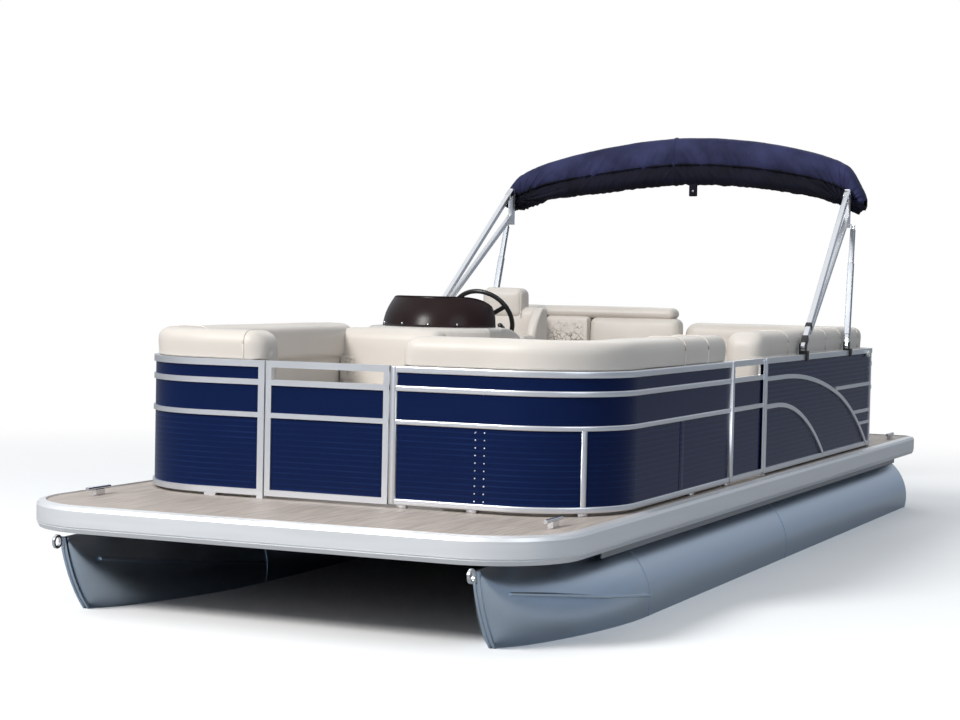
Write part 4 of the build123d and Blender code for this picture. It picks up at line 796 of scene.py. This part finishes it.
for k, (x, share, radius) in enumerate(DIALS):
    bezel = [(radius, 0.0005), (radius, 0.006), (radius - 0.003, 0.010), (radius - 0.006, 0.010),
             (radius - 0.008, 0.006)]
    dress(lathe(f"dial_bezel_{k}", bezel, dash_place(x, share), stainless), "hull", "stainless")
    face = [(radius - 0.007, 0.0066), (0.004, 0.0070), (0.0, 0.0070)]
    dress(lathe(f"dial_face_{k}", face, dash_place(x, share), dial_black), "hull", "black_plastic")
for label, low, high, radius, material, slot in THROTTLE_PARTS:
    lump = rounded_box(f"throttle_{label}", low, high, radius, material, place=dash_place(*THROTTLE_PLACE))
    dress(lump, "hull", slot)

# Windscreen: smoked acrylic bowed round the front, its edge falling aft in a curve

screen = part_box("windscreen")
SCREEN_MIDDLE = (screen[0].x + screen[1].x) / 2
SCREEN_TALL = screen[1].z - screen[0].z
SCREEN_ROUND = 0.340
SCREEN_TOP_ROUND = 0.280
SCREEN_TURN_Y = screen[0].y + SCREEN_ROUND
SCREEN_TOP_TURN_Y = SCREEN_TURN_Y + 0.030
SCREEN_ARC = 0.86
SCREEN_LEVEL = 0.34
SCREEN_BULGE = 0.014
SCREEN_THICK = 0.006
SCREW_ANGLES = (-48, -16, 12, 40)


def screen_rib(s, rise):
    """A point on the windscreen: s runs from -1 to 1 round it, rise from 0 at the foot to 1."""
    side = 1 if s > 0 else -1
    half = SCREEN_ROUND + (SCREEN_TOP_ROUND - SCREEN_ROUND) * rise
    turn_y = SCREEN_TURN_Y + (SCREEN_TOP_TURN_Y - SCREEN_TURN_Y) * rise
    if abs(s) <= SCREEN_ARC:
        angle = s / SCREEN_ARC * pi / 2
        return Vector((SCREEN_MIDDLE + half * sin(angle), turn_y - half * cos(angle), 0))
    return Vector((SCREEN_MIDDLE + side * half, turn_y + (abs(s) - SCREEN_ARC) / (1 - SCREEN_ARC) * 0.010, 0))


def make_screen():
    inner, outer = [], []
    columns, rows = 64, 12
    for i in range(columns + 1):
        s = 2 * i / columns - 1
        fall = max(0.0, (abs(s) - SCREEN_LEVEL) / (1 - SCREEN_LEVEL))
        tall = SCREEN_TALL * sqrt(max(0.0009, 1 - fall ** 2.6))
        for j in range(rows + 1):
            rise = j / rows * tall / SCREEN_TALL
            p = screen_rib(s, rise)
            p.z = screen[0].z + 0.001 + rise * (SCREEN_TALL - 0.002)
            bulge = SCREEN_BULGE * sin(pi * min(1.0, rise))
            away = Vector((p.x - SCREEN_MIDDLE, p.y - SCREEN_TURN_Y, 0))
            away = away.normalized() if away.length > 1e-6 else Vector((0, -1, 0))
            outer.append(p + away * bulge)
            inner.append(p + away * (bulge - SCREEN_THICK))
    faces = grid_faces(columns + 1, rows + 1, False)
    start = len(outer)
    faces += [tuple(start + v for v in reversed(face)) for face in faces]
    edge = [i * (rows + 1) for i in range(columns + 1)]
    edge += [columns * (rows + 1) + j for j in range(1, rows + 1)]
    edge += [i * (rows + 1) + rows for i in range(columns - 1, -1, -1)]
    edge += [j for j in range(rows - 1, 0, -1)]
    for a, b in zip(edge, edge[1:] + edge[:1]):
        faces.append((a, a + start, b + start, b))
    glass = mesh_object("windscreen_shell", outer + inner, faces, screen_acrylic)
    dress(glass, "hull", "smoked_screen", "windscreen")


make_screen()

# Console cheeks that rise beside the dash

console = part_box("helm_console")
DASH_Y = (0.100, console[1].y)
CHEEK_THICK = 0.042
CHEEK_FOOT = 1.000
CHEEK_FALL = 0.62


def cheek_warp(p):
    """Lets the cheek's top fall aft in a quarter round."""
    share = max(0.0, min(1.0, (p.y - DASH_Y[0]) / (DASH_Y[1] - DASH_Y[0])))
    drop = 1 - sqrt(max(0.0, 1 - share ** 2))
    return Vector((p.x, p.y, p.z - max(0.0, p.z - CHEEK_FOOT) * CHEEK_FALL * drop))


for x0, x1, label in ((console[1].x - CHEEK_THICK, console[1].x, "port"),
                      (console[0].x, console[0].x + CHEEK_THICK, "starboard")):
    cheek = rounded_box(f"console_cheek_{label}", (x0, DASH_Y[0] - 0.05, 0.600),
                        (x1, DASH_Y[1], console[1].z), 0.016, console_plastic, (0.002, 0, 0), cheek_warp)
    dress(cheek, "hull", "console_gelcoat")

# Bright screws along the foot of the windscreen
SCREW = [(0.007, 0.0), (0.006, 0.004), (0.003, 0.0065), (0.0, 0.007)]
for k, degrees in enumerate(SCREW_ANGLES):
    angle = radians(degrees)
    outward = Vector((sin(angle), -cos(angle), 0))
    point = Vector((SCREEN_MIDDLE, SCREEN_TURN_Y, screen[0].z + 0.018)) + outward * (SCREEN_ROUND - 0.001)
    dress(lathe(f"screen_screw_{k}", SCREW, facing(point, outward), stainless, 12), "hull", "stainless")


# Port bow fence: soft-edged rails and posts, and the rows of rivets

BOTTOM_RAIL_Z = 0.486
RAILS = ((BOTTOM_RAIL_Z, 0.514), (MIDDLE_RAIL_Z, 0.866), (0.991, 1.017), (1.073, RAIL_TOP))
RAIL_DEPTH = 0.032
POST = 0.028
CORNER_POST_ANGLE = 46.5
CORNER_POST_HALF = 0.012
FOOT_HALF = 0.022
DECK_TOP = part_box("deck")[1].z
PANEL_FACE = FENCE_X - 0.009
PANEL_JOINT_Y = -1.507
PANEL_JOINT_HALF = 0.030
RIVET_COLUMNS = (0.633, 0.676)
RIVET_ROWS = 10
RIVET_FOOT = 0.524
RIVET_STEP = 0.0335
FACING_BOW = Matrix.Rotation(radians(90), 4, "X")
RIVET = [(0.0040, -0.001), (0.0036, 0.0012), (0.0, 0.0022)]


def rail_section(low, high, out=0.0, soft=0.006):
    """A rail's section with round edges: outward and up."""
    corners = [(out - soft, low, -90), (out - soft, high - soft * 2, 0), (-RAIL_DEPTH, high - soft * 2, 90),
               (-RAIL_DEPTH, low, 180)]
    points = []
    for a, u, start in corners:
        shift = soft if a < -RAIL_DEPTH / 2 else 0.0
        for k in range(5):
            angle = radians(start + 22.5 * k)
            points.append((a + shift + soft * cos(angle), u + soft + soft * sin(angle)))
    return points


def fence_bar(name, start, end, low, high, out=0.0):
    """A bar along the fence between two lengths."""
    steps = max(2, int((end - start) / 0.03) + 1)
    path = fence_path(0.0, [start + (end - start) * k / steps for k in range(steps + 1)])
    dress(swept(name, path, rail_section(low, high, out), rail_metal), "hull", "anodised_rail",
          "fence_frame_bow_port")


def side_post(name, body, y0, foot, head, out):
    """An upright at the port side."""
    post = rounded_box(name, (FENCE_X - 0.024, y0, foot), (FENCE_X + out, y0 + POST, head), 0.005,
                       rail_metal, inner=2)
    dress(post, body, "anodised_rail")


frame_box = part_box("fence_frame_bow_port")
frame_start = frame_box[0].x
frame_end = path_length(0.0, frame_box[1].y)
for k, (low, high) in enumerate(RAILS):
    fence_bar(f"bow_port_rail_{k}", frame_start, frame_end, low, high)
fence_bar("bow_port_post_gate", frame_start, frame_start + POST, BOTTOM_RAIL_Z, RAIL_TOP - 0.0005, 0.001)
fence_bar("bow_port_post_side", frame_end - POST, frame_end, BOTTOM_RAIL_Z, RAIL_TOP - 0.0005, 0.006)
corner_post = FENCE_X - FENCE_BOW_RADIUS + FENCE_BOW_RADIUS * radians(CORNER_POST_ANGLE)
fence_bar("bow_port_post_corner", corner_post - CORNER_POST_HALF, corner_post + CORNER_POST_HALF,
          0.500, 0.855, -0.002)
for k, s in enumerate((frame_start + 0.06, 0.62, corner_post, frame_end - 0.62, frame_end - 0.05)):
    fence_bar(f"bow_port_foot_{k}", s - FOOT_HALF, s + FOOT_HALF, DECK_TOP, BOTTOM_RAIL_Z + 0.006, -0.004)
strip = rounded_box("bow_port_joint_strip", (PANEL_FACE - 0.001, PANEL_JOINT_Y - PANEL_JOINT_HALF, 0.5145),
                    (PANEL_FACE + 0.0012, PANEL_JOINT_Y + PANEL_JOINT_HALF, MIDDLE_RAIL_Z - 0.001), 0.001,
                    navy_paint, inner=2)
dress(strip, "hull", "navy_panel")
for column, x in enumerate(RIVET_COLUMNS):
    for row in range(RIVET_ROWS):
        point = (x, FENCE_BOW_Y + 0.0092, RIVET_FOOT + RIVET_STEP * row)
        rivet = lathe(f"rivet_{column}_{row}", RIVET, Matrix.Translation(point) @ FACING_BOW, rail_metal, 8)
        dress(rivet, "hull", "anodised_rail")
for y0 in (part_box("side_gate_frame")[0].y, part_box("side_gate_frame")[1].y - POST):
    side_post(f"gate_post_{y0:.2f}", "side_gate", y0, BOTTOM_RAIL_Z + 0.008, RAIL_TOP - 0.008, 0.004)
side_post("aft_port_post", "hull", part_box("fence_frame_aft_port")[0].y, BOTTOM_RAIL_Z, RAIL_TOP, 0.006)


# Outboard's cowling: two mouldings that meet at a dark seam

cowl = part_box("cowling")
COWL_SEAM = cowl[0].z + (cowl[1].z - cowl[0].z) * 0.34
COWL_GAP = 0.003
SEAM_BAND = 0.012
# Columns: name, foot, head, inset, edge radius, material
COWL_PARTS = (
    ("lower", cowl[0].z, COWL_SEAM - COWL_GAP, 0.004, 0.045, motor_paint),
    ("upper", COWL_SEAM + COWL_GAP, cowl[1].z, 0.0, 0.045, motor_paint),
    ("seam", COWL_SEAM - SEAM_BAND, COWL_SEAM + SEAM_BAND, 0.010, 0.008, black_plastic),
)


def cowl_warp(p):
    """Leans the cowling's aft face in and drops its top towards the stern."""
    up = max(0.0, (p.z - COWL_SEAM) / (cowl[1].z - COWL_SEAM))
    aft = max(0.0, (p.y - cowl[0].y) / (cowl[1].y - cowl[0].y))
    return Vector((p.x * (1 - 0.06 * up), p.y - 0.045 * up * aft, p.z - 0.030 * up * aft ** 2))


for label, foot, head, inset, radius, material in COWL_PARTS:
    shell = rounded_box(f"cowling_{label}", (cowl[0].x + inset, cowl[0].y + inset, foot),
                        (cowl[1].x - inset, cowl[1].y - inset, head), radius, material,
                        (0.004, 0.006, 0.008), cowl_warp)
    dress(shell, "outboard", "motor_paint", "cowling")


# Canopy legs and braces: square tubes, the slide fittings and the bright joints under the boot

LEG_FOOT = Vector((1.200, 0.700, 1.150))
LEG_HEAD = Vector((1.136, 1.918, 2.090))
LOWER_LEG_HEAD = Vector((1.136, 1.918, 1.925))
BRACE_FOOT = Vector((1.200, 1.730, 1.140))
BRACE_HEAD = Vector((1.170, 1.935, 1.880))
LEG_HALF = 0.0150
BRACE_HALF = 0.0145
BRACE_SLEEVE_HALF = 0.0170
SLEEVE_HALF = 0.018
LEG_LENGTH = (LEG_HEAD - LEG_FOOT).length
leg_along = (LEG_HEAD - LEG_FOOT).normalized()
brace_along = (BRACE_HEAD - BRACE_FOOT).normalized()
LEG_DROP = Vector((0, leg_along.z, -leg_along.y)).normalized() * 0.030
# Columns: name, start and end on the port side, half width, body, material
TUBES = (
    ("leg_upper", LEG_FOOT + leg_along * 0.070, LEG_FOOT + leg_along * (LEG_LENGTH - 0.02), LEG_HALF,
     "canopy", rail_metal),
    ("leg_lower", LEG_FOOT + leg_along * 0.170 + LEG_DROP, LOWER_LEG_HEAD, LEG_HALF, "canopy", rail_metal),
    ("brace", BRACE_FOOT + brace_along * 0.035, BRACE_HEAD - brace_along * 0.03, BRACE_HALF,
     "canopy_braces", brace_metal),
    ("brace_sleeve", BRACE_FOOT + brace_along * 0.060, BRACE_FOOT + brace_along * 0.520, BRACE_SLEEVE_HALF,
     "canopy_braces", brace_metal),
)
# Columns: place along the leg, length
SLEEVES = ((0.050, 0.060), (0.180, 0.036))
BOLT = [(0.009, 0.0), (0.009, 0.004), (0.005, 0.007), (0.0, 0.007)]
BOLTS_BACK = (0.035, 0.085, 0.135)


def leg_place(side, along):
    """A matrix on a canopy leg, its Z axis along the leg."""
    direction = mirrored(leg_along, side)
    return along_tube(mirrored(LEG_FOOT, side) + direction * along, direction)


def bar(name, start, end, half, body, material):
    """A square tube with soft edges between two points."""
    along = end - start
    tube = rounded_box(name, (-half, -half, 0), (half, half, along.length), 0.004, material, inner=3,
                       place=along_tube(start, along.normalized()))
    dress(tube, body, "anodised_rail")


for side, label in SIDES:
    for name, start, end, half, body, material in TUBES:
        bar(f"{name}_{label}", mirrored(start, side), mirrored(end, side), half, body, material)
for side, label in SIDES:
    for k, (along, length) in enumerate(SLEEVES):
        sleeve = rounded_box(f"leg_sleeve_{label}_{k}", (-SLEEVE_HALF, -SLEEVE_HALF, -length / 2),
                             (SLEEVE_HALF, SLEEVE_HALF, length / 2), 0.004, black_plastic,
                             place=leg_place(side, along), inner=2)
        dress(sleeve, "canopy", "black_plastic")
    knuckle = rounded_box(f"leg_knuckle_{label}", (-0.020, -0.016, -0.045), (0.020, 0.020, 0.020), 0.005,
                          stainless, place=leg_place(side, LEG_LENGTH - 0.030), inner=2)
    dress(knuckle, "canopy", "stainless")
    for k, back in enumerate(BOLTS_BACK):
        quarter_turn = Matrix.Rotation(radians(90 * side), 4, "Y")
        place = leg_place(side, LEG_LENGTH - back) @ Matrix.Translation((side * 0.016, 0, 0)) @ quarter_turn
        dress(lathe(f"leg_bolt_{label}_{k}", BOLT, place, stainless, 12), "canopy", "stainless")


# Canopy boot: gathered canvas round the folded bows

boot_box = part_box("canopy_boot")
BOOT_FRONT_Y = boot_box[0].y
BOOT_DEPTH = boot_box[1].y - boot_box[0].y
BOOT_HALF = boot_box[1].x
# Columns: x as a share of the half width, top of the boot, its lower edge
BOOT_STATIONS = [
    (-1.000, 2.060, 1.985), (-0.940, 2.155, 1.968), (-0.865, 2.212, 1.985), (-0.762, 2.262, 2.030),
    (-0.591, 2.318, 2.063), (-0.423, 2.361, 2.085), (-0.201, 2.405, 2.118), (0.000, 2.425, 2.140),
    (0.201, 2.423, 2.140), (0.423, 2.400, 2.120), (0.591, 2.366, 2.095), (0.762, 2.318, 2.062),
    (0.890, 2.262, 2.010), (0.958, 2.195, 1.965), (1.000, 2.090, 1.960),
]
# Columns: depth behind the front as a share, height as a share, round each roll of the boot
UPPER_ROLL = [
    (0.30, 1.00), (0.10, 0.94), (0.00, 0.78), (0.00, 0.58), (0.07, 0.45), (0.22, 0.39), (0.55, 0.37),
    (0.92, 0.42), (1.00, 0.62), (0.97, 0.82), (0.80, 0.96), (0.55, 1.00),
]
LOWER_ROLL = [
    (0.34, 0.46), (0.17, 0.40), (0.10, 0.26), (0.12, 0.10), (0.30, 0.00), (0.62, 0.00), (0.90, 0.14),
    (0.98, 0.38), (0.84, 0.52), (0.58, 0.54),
]


def boot_at(x):
    """The top and the lower edge of the boot at x."""
    share = x / BOOT_HALF
    for (x0, t0, l0), (x1, t1, l1) in zip(BOOT_STATIONS, BOOT_STATIONS[1:]):
        if share <= x1:
            t = max(0.0, (share - x0) / (x1 - x0))
            return t0 + (t1 - t0) * t, l0 + (l1 - l0) * t
    return BOOT_STATIONS[-1][1:]


def smooth_boot_at(x, reach=0.05):
    """The same, evened out along the boot."""
    tops = [boot_at(max(-BOOT_HALF, min(BOOT_HALF, x + reach * k / 3))) for k in range(-3, 4)]
    return sum(t for t, _ in tops) / 7, sum(low for _, low in tops) / 7


def closed_curve(points, per_span):
    """A smooth closed curve through points."""
    curve = []
    count = len(points)
    for i in range(count):
        p0, p1, p2, p3 = [Vector(points[(i + k - 1) % count]) for k in range(4)]
        for k in range(per_span):
            t = k / per_span
            curve.append(0.5 * (2 * p1 + (p2 - p0) * t + (2 * p0 - 5 * p1 + 4 * p2 - p3) * t * t
                                + (3 * p1 - p0 - 3 * p2 + p3) * t ** 3))
    return curve


# Where the folds at the boot's ends fan out from, and how far gathers and folds stand out
FAN_X = 1.09
FAN_Z = 2.02
GATHER_HEIGHT = 0.0058
FOLD_HEIGHT = 0.0150
BOOT_SETBACK = 0.006
BOOT_END = 0.11


def boot_fold(x, z, share):
    """How far the canvas stands out: slanting gathers in the middle, folds that fan out at the ends."""
    side = 1 if x >= 0 else -1
    fan = atan2(z - FAN_Z, FAN_X - abs(x))
    end = min(1.0, max(0.0, (abs(x) / BOOT_HALF - 0.62) / 0.25))
    across = x * 15 + side * share * 2.5
    middle = noise.noise(Vector((across, share * 1.5, 3.0)))
    middle += 0.6 * noise.noise(Vector((across * 2.6, share * 3, 9.0)))
    radial = noise.noise(Vector((fan * 9.0, abs(x) * 3, 5.0)))
    radial += 0.5 * noise.noise(Vector((fan * 21.0, x * 4, 7.0)))
    calm = 1.0 - 0.85 * min(1.0, max(0.0, share - 0.70) / 0.25)
    slow = 0.003 * noise.noise(Vector((x * 2, share, 1)))
    return calm * ((1 - end) * GATHER_HEIGHT * middle + end * FOLD_HEIGHT * radial) + slow


def make_roll(name, section, material, gather):
    across = 560
    ring = closed_curve(section, 7)
    points = []
    for i in range(across + 1):
        x = -BOOT_HALF + 2 * BOOT_HALF * i / across
        top, low = smooth_boot_at(x)
        edge = (BOOT_HALF - abs(x)) / BOOT_END
        round_end = sqrt(max(0.02, 1 - (1 - edge) ** 2)) if edge < 1 else 1.0
        centre_z = low + (top - low) * (0.5 if edge >= 1 else 0.5 - 0.12 * (1 - edge))
        seam = 0.006 * exp(-((x + 0.02) / 0.010) ** 2)
        for j, (deep, share) in enumerate(ring):
            depth = 0.5 + (deep - 0.5) * (0.35 + 0.65 * round_end)
            z = centre_z + (top - low) * (share - 0.5) * (0.30 + 0.70 * round_end)
            before, after = ring[j - 1], ring[(j + 1) % len(ring)]
            normal = Vector((before.y - after.y, after.x - before.x)).normalized()
            lift = gather * boot_fold(x, z, share) - BOOT_SETBACK - seam
            y = BOOT_FRONT_Y + BOOT_DEPTH * depth + normal.x * lift
            points.append(Vector((x, y, z + normal.y * lift)))
    roll = mesh_object(name, points, tube_faces(across + 1, len(ring)), material)
    dress(roll, "canopy", "navy_canvas", "canopy_boot", fill=0.5)


make_roll("canopy_boot_upper", UPPER_ROLL, navy_canvas, 1.0)
# The lower roll is drawn in the darker canvas copy, as painted shade under the upper roll
make_roll("canopy_boot_lower", LOWER_ROLL, canvas_painted_shade, 1.3)

# A dark cord sewn along the boot, under its upper roll
PIPING_SHARE = 0.425
PIPING_STEPS = 160
piping = []
for i in range(PIPING_STEPS + 1):
    x = BOOT_HALF * 0.93 * (2 * i / PIPING_STEPS - 1)
    top, low = smooth_boot_at(x)
    piping.append(Vector((x, BOOT_FRONT_Y + 0.014, low + (top - low) * PIPING_SHARE)))
dress(cord("boot_piping", piping, 0.0075, dark_piping), "canopy", "navy_canvas")

# The strap that hangs under the boot, with its snap
STRAP_X = 0.105
STRAP_HALF = 0.027
STRAP_Y = BOOT_FRONT_Y + 0.040
strap_top = smooth_boot_at(STRAP_X)[1]
strap = rounded_box("boot_strap", (STRAP_X - STRAP_HALF, STRAP_Y, strap_top - 0.085),
                    (STRAP_X + STRAP_HALF, STRAP_Y + 0.016, strap_top + 0.030), 0.006, dark_piping, inner=3)
dress(strap, "canopy", "navy_canvas")
snap_place = Matrix.Translation((STRAP_X, STRAP_Y, strap_top - 0.050)) @ FACING_BOW
dress(lathe("boot_strap_snap", [(0.008, 0.0), (0.007, 0.004), (0.0, 0.005)], snap_place, stainless, 16),
      "canopy", "stainless")


# Stage: a pale floor at the waterline that fades to white, and soft light

FLOOR_HALF = 90
FLOOR_TONE = 0.82
FLOOR_BOUNCE = (0.30, 0.31, 0.32)
FADE_START = 4.2
FADE_END = 9.0
WHITE = (1, 1, 1, 1)
SKY_FOOT = (0.26, 0.30, 0.37)
SKY_TOP = (0.95, 0.98, 1.0)
PORT_SKY = (0.12, 0.17, 0.25)

look = new_look("floor_tone")
seen = look.add("LightPath", "Is Camera Ray")
tone = look.mix(look.ramp(look.noise(2.0)), (FLOOR_TONE,) * 3, (FLOOR_TONE * 1.01,) * 3)
look.surface({"Base Color": look.mix(seen, FLOOR_BOUNCE, tone), "Roughness": 0.9, "Specular IOR Level": 0.0})
reach = look.add("VectorMath", "Value", {0: look.add("TexCoord", "Object")}, operation="LENGTH")
fade = look.join("MULTIPLY", look.ramp(reach, 0, 1, FADE_START, FADE_END), seen)
faded = look.add("MixShader", "Shader", {
    "Fac": fade,
    1: look.nodes["Principled BSDF"].outputs["BSDF"],
    2: look.add("Emission", "Emission", {"Color": WHITE}),
})
look.fill(look.nodes["Material Output"], {"Surface": faded})
floor_corners = [(x * FLOOR_HALF, y * FLOOR_HALF, 0) for x, y in ((-1, -1), (1, -1), (1, 1), (-1, 1))]
floor = mesh_object("floor", floor_corners, [(0, 1, 2, 3)], look.owner)

world = bpy.data.worlds.new("studio")
scene.world = world
sky = Look(world)
direction = sky.add("TexCoord", "Generated")
height = sky.ramp(sky.axis(direction, "Z"), 0, 1, -0.05, 0.70)
to_port = sky.ramp(sky.axis(direction, "X"), 0, 0.78, 0.10, 0.95)
sky_tone = sky.mix(to_port, sky.mix(height, SKY_FOOT, SKY_TOP), PORT_SKY)
background = sky.nodes["Background"]
sky.fill(background, {"Color": sky_tone, "Strength": 0.92})
choice = sky.add("MixShader", "Shader", {
    "Fac": sky.add("LightPath", "Is Camera Ray"),
    1: background.outputs["Background"],
    2: sky.add("Background", "Background", {"Color": WHITE, "Strength": 1.0}),
})
sky.fill(sky.nodes["World Output"], {"Surface": choice})

# Columns: name, place, target, size, power, colour
LIGHTS = [
    ("key", (-4.0, -12.0, 8.5), (0.0, -1.0, 0.6), 4.0, 1700, (1.0, 0.99, 0.97)),
    ("fill", (9.0, -6.0, 6.0), (0.0, 0.0, 0.8), 7.0, 230, (0.90, 0.95, 1.0)),
    ("rear", (-2.0, 10.0, 8.0), (0.0, 1.0, 1.0), 6.0, 160, (1.0, 1.0, 1.0)),
]
for name, place, target, size, power, colour in LIGHTS:
    data = bpy.data.lights.new(name, "AREA")
    data.shape = "DISK"
    data.size = size
    data.energy = power
    data.color = colour
    lamp = bpy.data.objects.new(name, data)
    scene.collection.objects.link(lamp)
    lamp.location = place
    lamp.rotation_euler = (Vector(target) - Vector(place)).to_track_quat("-Z", "Y").to_euler()

camera_data = bpy.data.cameras.new("camera")
camera_data.lens = LENS
camera_data.sensor_width = SENSOR
camera_data.clip_end = 200
camera = bpy.data.objects.new("camera", camera_data)
scene.collection.objects.link(camera)
axes = Matrix((CAMERA_RIGHT, CAMERA_UP, -CAMERA_AHEAD)).transposed()
camera.matrix_world = Matrix.Translation(CAMERA_PLACE) @ axes.to_4x4()
scene.camera = camera
scene.view_settings.view_transform = "Standard"
